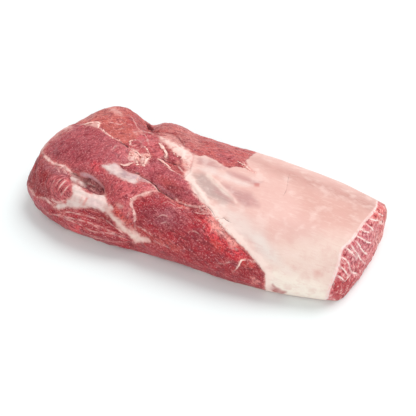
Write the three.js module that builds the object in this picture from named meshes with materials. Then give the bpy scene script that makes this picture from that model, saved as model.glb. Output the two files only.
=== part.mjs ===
// A whole oyster blade of beef (the flat muscle of the shoulder), raw and trimmed, lying on its flat underside.
//
// Units are millimetres. +X runs along the cut from the thick, rounded end to the sawn end, +Y across it to the back,
// +Z up. The origin is the middle of the footprint, on the surface that the meat rests on.
//
// The body is one closed skin: a grid over the top, rings of quads that roll down its four sides, and a flat
// underside. The driving dimensions give its outline and thickness. Swells and folds then raise the single muscles
// and sink the seams between them.
import * as THREE from "three";

// ---------------------------------------------------------------------------------------------- driving dimensions
// The outline seen from above and the thickness, at stations along the length. A drop is the share of the thickness
// that the top has lost where it rolls over into the front or the back.
const STATIONS = [
  { x: -193, front: -69, back: 67, thickness: 58, frontDrop: 0.3, backDrop: 0.2 },
  { x: -133, front: -82, back: 93, thickness: 66, frontDrop: 0.3, backDrop: 0.22 },
  { x: -63, front: -82, back: 81, thickness: 63, frontDrop: 0.3, backDrop: 0.26 },
  { x: -3, front: -80, back: 80, thickness: 62, frontDrop: 0.3, backDrop: 0.3 },
  { x: 67, front: -81, back: 77, thickness: 60, frontDrop: 0.34, backDrop: 0.34 },
  { x: 127, front: -72, back: 72, thickness: 56, frontDrop: 0.42, backDrop: 0.4 },
  { x: 187, front: -58, back: 58, thickness: 52, frontDrop: 0.5, backDrop: 0.46 },
];

// The two ends seen from above, from the front edge (across -1) to the back edge (across 1): how far the rounded end
// reaches, and the top and the foot of the sawn face.
const ENDS = [
  { across: -1, rounded: -211, sawnTop: 150, sawnFoot: 154 },
  { across: -0.8, rounded: -203, sawnTop: 152, sawnFoot: 167 },
  { across: -0.5, rounded: -194, sawnTop: 155, sawnFoot: 174 },
  { across: 0, rounded: -191, sawnTop: 163, sawnFoot: 179 },
  { across: 0.5, rounded: -178, sawnTop: 171, sawnFoot: 183 },
  { across: 1, rounded: -134, sawnTop: 174, sawnFoot: 181 },
];
const CROWN_AT = -0.3; // where the top is highest, from -1 at the front edge to 1 at the back
const EQUATOR_SHARE = 0.36; // height of the widest line of the sides, as a share of the thickness

// Roundness exponents: 2 is an ellipse, and a higher number is squarer.
const SECTION_ROUNDNESS = 2.5; // of the section across the meat
const END_ROUNDNESS = 5; // of the rounded end, seen from above and from the side
const TUCK_SIDE = 0.12; // how far the underside's rim lies inside the widest line, as a share of the half width
const TUCK_END = 0.07; // the same at the rounded end, as a share of the half length

// Bellies of single muscles: centre, reach along and across, and how far the middle is raised.
const SWELLS = [
  { at: [-136, 58, 50], along: 24, across: 26, lift: 7 }, // round muscle at the back of the rounded end
  { at: [-66, 66, 44], along: 18, across: 24, lift: 5 }, // blunt start of the long muscle at the back
  { at: [-143, -54, 50], along: 20, across: 16, lift: 4 }, // oval muscle on the rounded end
  { at: [-100, -80, 22], along: 46, across: 16, lift: 4 }, // long-grained muscle low at the front
  { at: [8, -62, 46], along: 60, across: 26, lift: 4 }, // main muscle of the front
  { at: [-70, -50, 54], along: 20, across: 16, lift: 3 }, // its short head
  { at: [-120, -10, 64], along: 34, across: 24, lift: 3 }, // broad muscle on top of the rounded end
  { at: [-20, -18, 62], along: 24, across: 12, lift: 3 }, // strip between the long seam and the silverskin
  { at: [168, 0, 28], along: 16, across: 30, lift: 3 }, // sawn face
];

// Seams and pockets between the muscles: the line they follow over the skin, half their width, and their depth.
const FOLDS = [
  { path: [[-175, -27, 50], [-157, -37, 56], [-133, -45, 57]], width: 8, depth: 4 }, // round the rounded end
  { path: [[-128, -47, 57], [-110, -50, 56], [-94, -54, 54]], width: 9, depth: 8 }, // open pocket under the fascia
  { path: [[-178, -60, 32], [-150, -72, 35], [-120, -75, 37], [-90, -75, 38]], width: 8, depth: 4 },
  { path: [[-90, -75, 38], [-69, -77, 35], [-52, -79, 30], [-46, -81, 8]], width: 9, depth: 5 },
  { path: [[-88, -20, 63], [-61, -25, 62], [-38, -33, 60], [-16, -42, 57], [2, -47, 55]], width: 8, depth: 5 },
  { path: [[-84, -4, 63], [-62, -12, 62]], width: 10, depth: 4 }, // torn hollow behind the long seam
  { path: [[-48, 2, 61], [-36, -2, 61], [-20, -10, 62]], width: 8, depth: 3 },
  { path: [[-98, 80, 26], [-95, 68, 44], [-90, 52, 54], [-84, 36, 59]], width: 9, depth: 9 }, // notch at the back
  { path: [[-112, 84, 36], [-106, 66, 50]], width: 14, depth: 5 }, // its long slope from the round muscle
  { path: [[-31, -34, 60], [-61, -48, 54], [-55, -64, 46], [-48, -75, 36]], width: 8, depth: 2 },
];

// Grid: quads along the length, across the top, and down the sides.
const ALONG = 84;
const ACROSS = 32;
const DOWN = 12;
const LOWER_RINGS = 4; // of the rings down the sides, those below the widest line
const FLAT_FADE = 9; // over this height the relief fades out towards the flat underside

// ------------------------------------------------------------------------------------------------------ small maths
const clamp = (value, low, high) => Math.min(high, Math.max(low, value));
const { lerp, smoothstep } = THREE.MathUtils;

// A smooth curve through one size of a list of rows, as a function of their position.
function curveThrough(rows, position, size) {
  const points = rows.map((row) => new THREE.Vector2(row[position], row[size]));
  const samples = new THREE.SplineCurve(points).getPoints(240);
  return (value) => {
    const at = clamp(value, samples[0].x, samples.at(-1).x);
    const next = Math.max(1, samples.findIndex((sample) => sample.x >= at));
    const [low, high] = [samples[next - 1], samples[next]];
    return lerp(low.y, high.y, (at - low.x) / (high.x - low.x));
  };
}
const station = Object.fromEntries(
  ["front", "back", "thickness", "frontDrop", "backDrop"].map((size) => [size, curveThrough(STATIONS, "x", size)]),
);
const end = Object.fromEntries(
  ["rounded", "sawnTop", "sawnFoot"].map((size) => [size, curveThrough(ENDS, "across", size)]),
);

// ------------------------------------------------------------------------------------------------------- main form
// A point of the skin from box coordinates a (along), b (across) and c (up), each from -1 to 1.
function skinPoint(a, b, c) {
  const upper = Math.max(c, 0);
  const section = (Math.abs(b) ** SECTION_ROUNDNESS + upper ** SECTION_ROUNDNESS) ** (1 / SECTION_ROUNDNESS);
  const domed = (Math.abs(a) ** END_ROUNDNESS + section ** END_ROUNDNESS) ** (1 / END_ROUNDNESS);
  const flat = section > 0 ? section / Math.max(Math.abs(b), upper) : 1; // keeps the sawn face flat, its edge crisp
  const reach = a < 0 ? domed : flat;
  const rise = upper / reach;

  const turn = (clamp(-c, 0, 1) * Math.PI) / 2;
  const tuck = 1 - Math.cos(turn);
  const across = (b / reach) * (1 - TUCK_SIDE * tuck);
  const along = a < 0 ? (a / reach) * (1 - TUCK_END * tuck) : a;

  const level = c >= 0 ? EQUATOR_SHARE + (1 - EQUATOR_SHARE) * rise : EQUATOR_SHARE * (1 - Math.sin(turn));
  const sawn = lerp(end.sawnFoot(across), end.sawnTop(across), level);
  const x = lerp(end.rounded(across), sawn, (along + 1) / 2);

  const [front, back, thickness] = [station.front(x), station.back(x), station.thickness(x)];
  const y = (front + back) / 2 + ((back - front) / 2) * across;
  const behind = across > CROWN_AT;
  const away = behind ? (across - CROWN_AT) / (1 - CROWN_AT) : (CROWN_AT - across) / (1 + CROWN_AT);
  const drop = (behind ? station.backDrop(x) : station.frontDrop(x)) * away ** 2;
  const equator = thickness * EQUATOR_SHARE;
  const z = c >= 0 ? lerp(equator, thickness * (1 - drop), rise) : equator * (1 - Math.sin(turn));
  return new THREE.Vector3(x, y, z);
}

// The box coordinates of the rim of the top grid, counter-clockwise seen from above.
function rimCoordinates() {
  const rim = [];
  for (let i = 0; i < ALONG; i++) rim.push([-1 + (2 * i) / ALONG, -1]);
  for (let j = 0; j < ACROSS; j++) rim.push([1, -1 + (2 * j) / ACROSS]);
  for (let i = 0; i < ALONG; i++) rim.push([1 - (2 * i) / ALONG, 1]);
  for (let j = 0; j < ACROSS; j++) rim.push([-1, 1 - (2 * j) / ACROSS]);
  return rim;
}

// The height coordinate of each ring down the sides: 1 at the top edge, 0 at the widest line, -1 at the underside.
function ringLevel(ring) {
  const upperRings = DOWN - LOWER_RINGS;
  return ring <= upperRings ? 1 - ring / upperRings : -(ring - upperRings) / LOWER_RINGS;
}

function buildSkin() {
  const points = [];
  const faces = [];
  const grid = (i, j) => j * (ALONG + 1) + i;
  for (let j = 0; j <= ACROSS; j++) {
    for (let i = 0; i <= ALONG; i++) points.push(skinPoint(-1 + (2 * i) / ALONG, -1 + (2 * j) / ACROSS, 1));
  }
  for (let j = 0; j < ACROSS; j++) {
    for (let i = 0; i < ALONG; i++) {
      const [p, q, r, s] = [grid(i, j), grid(i + 1, j), grid(i + 1, j + 1), grid(i, j + 1)];
      faces.push([p, q, r], [p, r, s]);
    }
  }

  const rim = rimCoordinates();
  let upper = rim.map(([a, b]) => grid(Math.round(((a + 1) / 2) * ALONG), Math.round(((b + 1) / 2) * ACROSS)));
  for (let ring = 1; ring <= DOWN; ring++) {
    const lower = rim.map(([a, b]) => points.push(skinPoint(a, b, ringLevel(ring))) - 1);
    rim.forEach((_, m) => {
      const n = (m + 1) % rim.length;
      faces.push([upper[m], lower[m], lower[n]], [upper[m], lower[n], upper[n]]);
    });
    upper = lower;
  }
  const outline = upper.map((v) => new THREE.Vector2(points[v].x, points[v].y));
  for (const [p, q, r] of THREE.ShapeUtils.triangulateShape(outline, [])) faces.push([upper[p], upper[r], upper[q]]);
  return { points, faces };
}

// ---------------------------------------------------------------------------------------------------------- relief
// How far a point lies from a broken line.
function distanceToPath(point, path) {
  const corners = path.map((corner) => new THREE.Vector3(...corner));
  const near = new THREE.Vector3();
  const gaps = corners.slice(1).map((corner, i) => {
    new THREE.Line3(corners[i], corner).closestPointToPoint(point, true, near);
    return near.distanceTo(point);
  });
  return Math.min(...gaps);
}

// How far the skin is raised (or sunk, below zero) at a point.
function relief(point) {
  let raised = 0;
  for (const { at, along, across, lift } of SWELLS) {
    const side = Math.hypot(point.y - at[1], point.z - at[2]) / across;
    raised += lift * Math.exp(-(((point.x - at[0]) / along) ** 2) - side ** 2);
  }
  for (const { path, width, depth } of FOLDS) raised -= depth * Math.exp(-((distanceToPath(point, path) / width) ** 2));
  return raised * smoothstep(point.z, 0, FLAT_FADE);
}

function geometryOf({ points, faces }) {
  const geometry = new THREE.BufferGeometry().setFromPoints(points);
  geometry.setIndex(faces.flat());
  geometry.computeVertexNormals();
  return geometry;
}

// Each point moves along its normal by the relief. The flat underside stays as it is.
function addRelief(skin) {
  const normals = geometryOf(skin).getAttribute("normal");
  const points = skin.points.map((point, v) => {
    const normal = new THREE.Vector3().fromBufferAttribute(normals, v);
    return point.clone().addScaledVector(normal, relief(point));
  });
  return { points, faces: skin.faces };
}

const geometry = geometryOf(addRelief(buildSkin()));
geometry.computeBoundingBox();
const middle = geometry.boundingBox.getCenter(new THREE.Vector3());
geometry.translate(-middle.x, -middle.y, 0);

const oysterBlade = new THREE.Mesh(
  geometry,
  new THREE.MeshStandardMaterial({ color: 0xb5484f, roughness: 0.45, metalness: 0 }),
);
oysterBlade.name = "oyster_blade";

const part = new THREE.Group();
part.add(oysterBlade);
export default part;
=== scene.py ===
"""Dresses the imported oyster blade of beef: raw muscle, silverskin, seam fat and the sawn end.

The skin is the solid's own form, refined to quads of about a millimetre. Muscles, films of fascia, seams
and cuts are named by where the reference camera sees them. Each is cast onto the skin, where it gives relief
and colour. What that camera can't see is finished by the same kinds of flesh, film and seam, placed in
millimetres.
"""

import logging
import math
from dataclasses import dataclass, field
from enum import Enum

import bmesh
import bpy
import numpy as np
from mathutils import Matrix, Vector
from mathutils.bvhtree import BVHTree


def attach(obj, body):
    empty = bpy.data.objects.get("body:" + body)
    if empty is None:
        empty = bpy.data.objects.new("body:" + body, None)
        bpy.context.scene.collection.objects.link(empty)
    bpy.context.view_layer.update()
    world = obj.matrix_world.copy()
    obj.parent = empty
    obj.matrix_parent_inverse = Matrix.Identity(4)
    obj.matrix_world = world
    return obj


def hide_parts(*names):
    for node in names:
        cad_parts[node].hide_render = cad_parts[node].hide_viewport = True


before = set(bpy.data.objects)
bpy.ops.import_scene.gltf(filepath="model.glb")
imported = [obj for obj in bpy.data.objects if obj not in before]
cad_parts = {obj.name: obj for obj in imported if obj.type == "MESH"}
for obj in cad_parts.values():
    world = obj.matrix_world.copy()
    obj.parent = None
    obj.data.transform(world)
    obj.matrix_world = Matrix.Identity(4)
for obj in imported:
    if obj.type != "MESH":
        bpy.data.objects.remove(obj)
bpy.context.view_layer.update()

log = logging.getLogger("oyster_blade")

MM = 0.001
FAR = 1e3  # in millimetres, farther than any two points of the part
Points = np.ndarray
Weights = np.ndarray
Trace = str  # a line or an outline of the picture, as pairs of pixels: "across,down across,down"
Socket = bpy.types.NodeSocket
Tree = bpy.types.NodeTree


# ------------------------------ colour and maths
def linear(hex_code: str) -> tuple[float, float, float, float]:
    """Turns an sRGB colour into the linear values that Blender's shaders take.

    Args:
        hex_code: The colour as "#rrggbb".

    Returns:
        Red, green, blue and an alpha of 1.
    """
    channels = [int(hex_code[i : i + 2], 16) / 255 for i in (1, 3, 5)]
    lit = [c / 12.92 if c <= 0.04045 else ((c + 0.055) / 1.055) ** 2.4 for c in channels]
    return (lit[0], lit[1], lit[2], 1.0)


def ease(low: float, high: float, value: Weights) -> Weights:
    """Rises smoothly from 0 at low to 1 at high.

    Args:
        low: Value below which the result is 0.
        high: Value above which the result is 1.
        value: What is looked at.

    Returns:
        Numbers from 0 to 1.
    """
    t = np.clip((value - low) / (high - low), 0.0, 1.0)
    return t * t * (3 - 2 * t)


def lumps(points: Points, size: float, seed: int, octaves: int = 1) -> Weights:
    """Smooth seeded noise with lumps of a real size.

    Args:
        points: Places in millimetres, one row each.
        size: Width of a lump in millimetres.
        seed: Seed of the random lattice.
        octaves: Layers, each half as wide and half as strong as the one before.

    Returns:
        Numbers from about -1 to 1.
    """
    cells = 32
    lattice = np.random.default_rng(seed).uniform(-1, 1, (cells, cells, cells))
    turn = np.array(Matrix.Rotation(0.7, 3, Vector((1, 2, 3)).normalized()))
    total = np.zeros(len(points))
    scaled = points / size
    for octave in range(octaves):
        scaled = scaled @ turn.T + 7.3
        base = np.floor(scaled).astype(int)
        part = scaled - base
        part = part * part * (3 - 2 * part)
        layer = np.zeros(len(points))
        for corner in np.ndindex(2, 2, 2):
            share = np.prod(np.where(corner, part, 1 - part), axis=1)
            x, y, z = ((base + corner) % cells).T
            layer += share * lattice[x, y, z]
        total += layer * 0.5**octave
        scaled = scaled * 2
    return total


def hidden_seams(points: Points) -> Weights:
    """Lays seams between muscles over the sides that the camera can't see.

    Args:
        points: Places in millimetres, one row each.

    Returns:
        About how many millimetres each place lies from a seam, with a sign that tells its sides apart.
    """
    muscle_width, slope = 42, 34
    return slope * lumps(points * (0.6, 1, 1), muscle_width, 47)


def pixels(trace: Trace) -> Points:
    """Returns the points of a trace, one row each."""
    return np.array([pair.split(",") for pair in trace.split()], float)


def stretch(trace: Trace, first: int, past: int) -> Trace:
    """Returns the part of a trace from one of its points to the one before another."""
    return " ".join(trace.split()[first:past])


def smooth(rough: Points, steps: int = 5) -> Points:
    """Draws a smooth curve through points.

    Args:
        rough: The points, one row each.
        steps: How many pieces each stretch between two points becomes.

    Returns:
        The curve's points, one row each.
    """
    ends = np.vstack([2 * rough[0] - rough[1], rough, 2 * rough[-1] - rough[-2]])
    curve = []
    for a, b, c, d in zip(ends, ends[1:], ends[2:], ends[3:]):
        for t in np.arange(steps) / steps:
            bend = (2 * a - 5 * b + 4 * c - d) * t**2 + (3 * b - a - 3 * c + d) * t**3
            curve.append(b + 0.5 * ((c - a) * t + bend))
    curve.append(rough[-1])
    return np.array(curve)


def stand(name: str, data: bpy.types.ID) -> bpy.types.Object:
    """Makes an object and puts it into the scene.

    Args:
        name: Its name.
        data: The mesh, lamp or camera that it shows.

    Returns:
        The object.
    """
    thing = bpy.data.objects.new(name, data)
    bpy.context.scene.collection.objects.link(thing)
    return thing


# ------------------------------ camera
@dataclass(frozen=True)
class PhotoCamera:
    """The reference camera: where it stands, and how it sees the part.

    The principal point lies a few pixels off the middle of the square frame, which a small lens shift gives.
    """

    azimuth: float = 21.0
    elevation: float = 50.0
    lens: float = 70.0
    sensor: float = 36.0
    frame_px: float = 416.0
    px_per_mm: float = 0.95
    target: tuple[float, float, float] = (-3.0, -5.4, 25.0)
    target_px: tuple[float, float] = (200.9, 201.5)
    clip: tuple[float, float] = (0.05, 200.0)

    def axes(self) -> tuple[Points, Points, Points]:
        """Returns the unit vectors to the right, up, and away from the camera."""
        turn, tilt = math.radians(self.azimuth), math.radians(self.elevation)
        right = np.array([math.cos(turn), math.sin(turn), 0.0])
        level = np.array([-math.sin(turn), math.cos(turn), 0.0])
        away = level * math.cos(tilt) - np.array([0.0, 0.0, math.sin(tilt)])
        return right, np.cross(right, away), away

    def focal_px(self) -> float:
        """Returns the focal length in pixels."""
        return self.frame_px * self.lens / self.sensor

    def place(self) -> Points:
        """Returns where the camera stands, in millimetres."""
        return np.array(self.target) - self.axes()[2] * self.focal_px() / self.px_per_mm

    def see(self, points: Points) -> Points:
        """Projects points into the picture.

        Args:
            points: Places in millimetres, one row each.

        Returns:
            Pixels from the upper left corner, one row each.
        """
        right, up, away = self.axes()
        offset = points - self.place()
        scale = self.focal_px() / (offset @ away)
        across = self.target_px[0] + (offset @ right) * scale
        down = self.target_px[1] - (offset @ up) * scale
        return np.stack([across, down], axis=1)

    def ray(self, pixel: Points) -> Points:
        """Returns the unit direction in which the camera sees a pixel."""
        right, up, away = self.axes()
        across, down = (pixel - np.array(self.target_px)) / self.focal_px()
        direction = away + right * across - up * down
        return direction / np.linalg.norm(direction)

    def build(self) -> bpy.types.Object:
        """Makes Blender's camera and sets it as the scene's.

        Returns:
            The camera object.
        """
        data = bpy.data.cameras.new("camera")
        data.lens, data.sensor_width = self.lens, self.sensor
        data.shift_x = 0.5 - self.target_px[0] / self.frame_px
        data.shift_y = self.target_px[1] / self.frame_px - 0.5
        data.clip_start, data.clip_end = self.clip
        camera = stand("camera", data)
        right, up, away = self.axes()
        turn = Matrix([right, up, -away]).transposed().to_4x4()
        camera.matrix_world = Matrix.Translation(Vector(self.place()) * MM) @ turn
        bpy.context.scene.camera = camera
        return camera


# ------------------------------ what lies on the skin
class Hue(Enum):
    """The colours of raw beef: flesh, film and fat, with painted shade and sheen, from dark to pale."""

    CUT_SHADE = "#6e2a30"
    DEEP_RED = "#a81223"
    # Dark red of the rounded end, laid also as painted shade in the hollow and at the low front.
    DARK_END = "#920c18"
    PURPLE = "#902738"
    BRIGHT_RED = "#ee2c3a"
    RED = "#a8232b"
    MAUVE = "#b24852"
    BROWN_RED = "#c4594d"
    ROSE = "#ca535a"
    BACK_ROSE = "#c25550"
    ORANGE_RED = "#cc5046"
    VIVID_ORANGE = "#e04b3a"
    SAWN = "#d7787d"
    SAWN_RED = "#b8323a"
    SAWN_LILAC = "#c67481"
    SAWN_ORANGE = "#e0685c"
    # Lilac of films and linings, laid also as the painted sheen of the wet flesh.
    LILAC = "#cfa5ae"
    GREY_FILM = "#b99fa2"
    # Flesh inside the pocket, darkened as painted shade.
    POCKET = "#7e3a42"
    POCKET_TAN = "#a57e78"
    HALO = "#d67770"
    # Tan of fibrous flesh, laid also as the painted sheen of the back muscle and the hump.
    TAN_FIBRE = "#d4948b"
    TORN_PINK = "#ffa89d"
    COOL_GREY = "#b89b95"
    MEMBRANE_MAUVE = "#bf8a88"
    SILVERSKIN = "#e6b9af"
    SILVERSKIN_BACK = "#c78f85"
    SILVERSKIN_RIGHT = "#d9a599"
    FASCIA = "#e8d1ca"
    COOL_CREAM = "#efe7e0"
    CREAM = "#ecd8d1"
    WARM_CREAM = "#fff2e4"
    FAT = "#f0c4ba"
    PALE_FAT = "#ffe5db"
    WHITE_RIM = "#fbeae6"


class Cover(Enum):
    """What a patch is made of, which sets its gloss and hides the grain of the flesh under it."""

    TINT = "tint"
    MEMBRANE = "membrane"
    FAT = "fat"


@dataclass(frozen=True)
class Muscle:
    """One muscle, with its colour and the run of its fibres.

    Attributes:
        name: What it is.
        outline: Its outline in the picture, in pixels.
        hue: Its colour.
        fibre_deg: Direction of the fibres in the picture, counter-clockwise from the right.
        streak: How plainly the fibres show, from 0 to 1.
        run: Length in millimetres over which a bundle of fibres shows.
        centre: Point in the picture round which the fibres curve, where they do.
    """

    name: str
    outline: Trace
    hue: Hue
    fibre_deg: float
    streak: float
    run: float = 4.5
    centre: tuple[float, float] | None = None


@dataclass(frozen=True)
class Patch:
    """A film, a lump of fat or a tint that lies on the flesh; some tints are painted shade or painted sheen.

    Attributes:
        name: What it is.
        outline: Its outline in the picture, in pixels.
        hue: Its colour.
        cover: What it is made of.
        feather: Half the width of its soft edge, in millimetres.
        strength: How far it covers what lies under it.
        lift: How far its middle is raised, in millimetres.
        ragged: How far its edge wanders, in millimetres.
        halo: How plainly the flesh round it turns pink.
        sheer: How far the flesh shows through in places, from 0 to 1.
        run_deg: Direction of its threads in the picture, counter-clockwise from the right.
    """

    name: str
    outline: Trace
    hue: Hue
    cover: Cover = Cover.TINT
    feather: float = 1.5
    strength: float = 1.0
    lift: float = 0.0
    ragged: float = 1.0
    halo: float = 0.55
    sheer: float = 0.35
    run_deg: float = 0.0


@dataclass(frozen=True)
class Seam:
    """A thin pale line: a seam of fat, a vein of marbling, the edge of a film, or a painted highlight on a
    ridge.

    Attributes:
        name: What it is.
        path: Its line in the picture, in pixels.
        width: Its width in millimetres.
        strength: How far it covers what lies under it.
        lift: How far it is raised, in millimetres.
    """

    name: str
    path: Trace
    width: float = 1.6
    strength: float = 0.8
    lift: float = 0.3


@dataclass(frozen=True)
class Cut:
    """A cut, a gap between muscles or a streak: a groove and a dark line, which is painted shade in cuts and
    gaps and the flesh's own darker colour in streaks and spots.

    Attributes:
        name: What it is.
        path: Its line in the picture, in pixels.
        width: Its width in millimetres.
        depth: Its depth in millimetres.
        shade: How dark it shows, from 0 to 1.
    """

    name: str
    path: Trace
    width: float = 2.0
    depth: float = 2.0
    shade: float = 0.8


MUSCLES = (
    Muscle("round muscle at the back", "70,134 83,125 98,127 110,136 121,143 131,143 141,134 151,134 "
           "152,124 135,113 112,102 90,108 72,122", Hue.BROWN_RED, -4, 0.5, 6.0),
    Muscle("broad muscle on the rounded end", "36,150 50,136 70,124 83,123 98,127 110,136 121,143 130,147 "
           "129,158 136,164 118,164 107,166 103,170 104,186 94,178 87,174 78,171 71,171 63,166 52,161 "
           "42,153", Hue.MAUVE, 38, 0.6, 3.2),
    Muscle("rounded end", "36,150 43,154 52,161 63,166 71,172 71,180 51,176 47,184 50,196 49,201 38,197 "
           "22,184 20,170", Hue.DARK_END, 62, 0.6, 6.0),
    Muscle("oval muscle", "51,176 62,174.6 68,176 69,180 73,189 72,194 68,199 61,203 53,203 49.5,199 "
           "50,194 47,184", Hue.ROSE, 55, 1.0, 6.5, (65, 193)),
    Muscle("lower lip", "20,182 27,186 38,197 50,203 58,209 52,216 48,222 20,205", Hue.MAUVE, -35, 0.6,
           6.0),
    Muscle("long-grained muscle", "50,209 59.5,208 73.5,207 83,208 93,209.5 104,213 109,217 114,224 "
           "120.5,229 127,234 131,240 131,250 100,248 60,230 36,210", Hue.DEEP_RED, -19, 0.85, 26.0),
    Muscle("middle muscle", "103,168 108,171 114,174 121,177 127,180 134,182.5 140,182 149,182 153,186 "
           "158,190.5 146,193 134,197 131,200 132,206 134,211 135,218 135,228 130,228 124,224 118,219 "
           "114,213 110,208 106,201 104,193 104,186", Hue.ROSE, 45, 0.6, 3.4),
    Muscle("front muscle", "131,200 134,197 146,193 159,191 165,194 172,200 187,205 205,206 213,211 "
           "217,219 223,229 231,236 240,245 252,258 262,267 266,280 266,300 225,296 170,280 140,262 "
           "134,246 136,229 134.7,218 131.6,206", Hue.DEEP_RED, -34, 0.6, 5.0),
    Muscle("strip beside the silverskin", "139,174 133,166 141,164 150,158 158,159 166,165 176,172 185,177 "
           "190,182 198,194 210,207 187,205 176,201 165.6,194 155,185 147,180", Hue.MAUVE, -30, 0.45, 3.0),
    # Its flesh is painted darker, as the shade inside the pocket.
    Muscle("inside of the pocket", "83,178 88,179 95,182 101,187.6 104.4,193.6 96.4,193 89.3,189.4 83,186",
           Hue.POCKET, -38, 1.0, 3.0),
    Muscle("torn hollow", "129,147 131,143 135,140 141,134 150,133 155,134 160,137 160,144 166,152 168,158 "
           "158,159 150,158 141,165 134,165 129,158", Hue.ROSE, 10, 0.4),
    Muscle("long muscle at the back", "151,120 151,131 156,134 165,132 178,134.6 183,140 185,146 190,152 "
           "199,155 206,157 215,160 222,165 229,169 240,168 250,172 249,160 278,158 272,142 215,125 "
           "165,112", Hue.BACK_ROSE, -18, 0.55, 6.0),
)

SILVERSKIN = (
    "185,177 190,173 192,164 194,155 206,157 215,160 222,165 229.5,169 236,167 247,168 246,161 250,157 "
    "272,142 330,150 410,190 410,320 266,312 265.5,274 258,263.5 247.7,251.6 231,236 216,220 208,206 "
    "198,194 190,181.6"
)

SAWN_EDGE = (
    "378,199 376.6,204 375.4,208.6 370,215.5 363,223.6 358,231.6 351,240.5 343.6,247 341,252 338.7,262 "
    "336.4,270 332,281.6 329,289.6 327,297 325,306"
)
SAWN_RIM = (
    "366,188 378,197.6 384,203 386.6,211 385.4,222 383.4,233 379.6,244 373.6,256 366,268 358.4,281 "
    "351.4,290 346,296 340,299.6 328,303 200,307 200,100 300,100"
)
SAWN_FACE = SAWN_EDGE + " 330,320 420,320 420,190 384,190"

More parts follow.
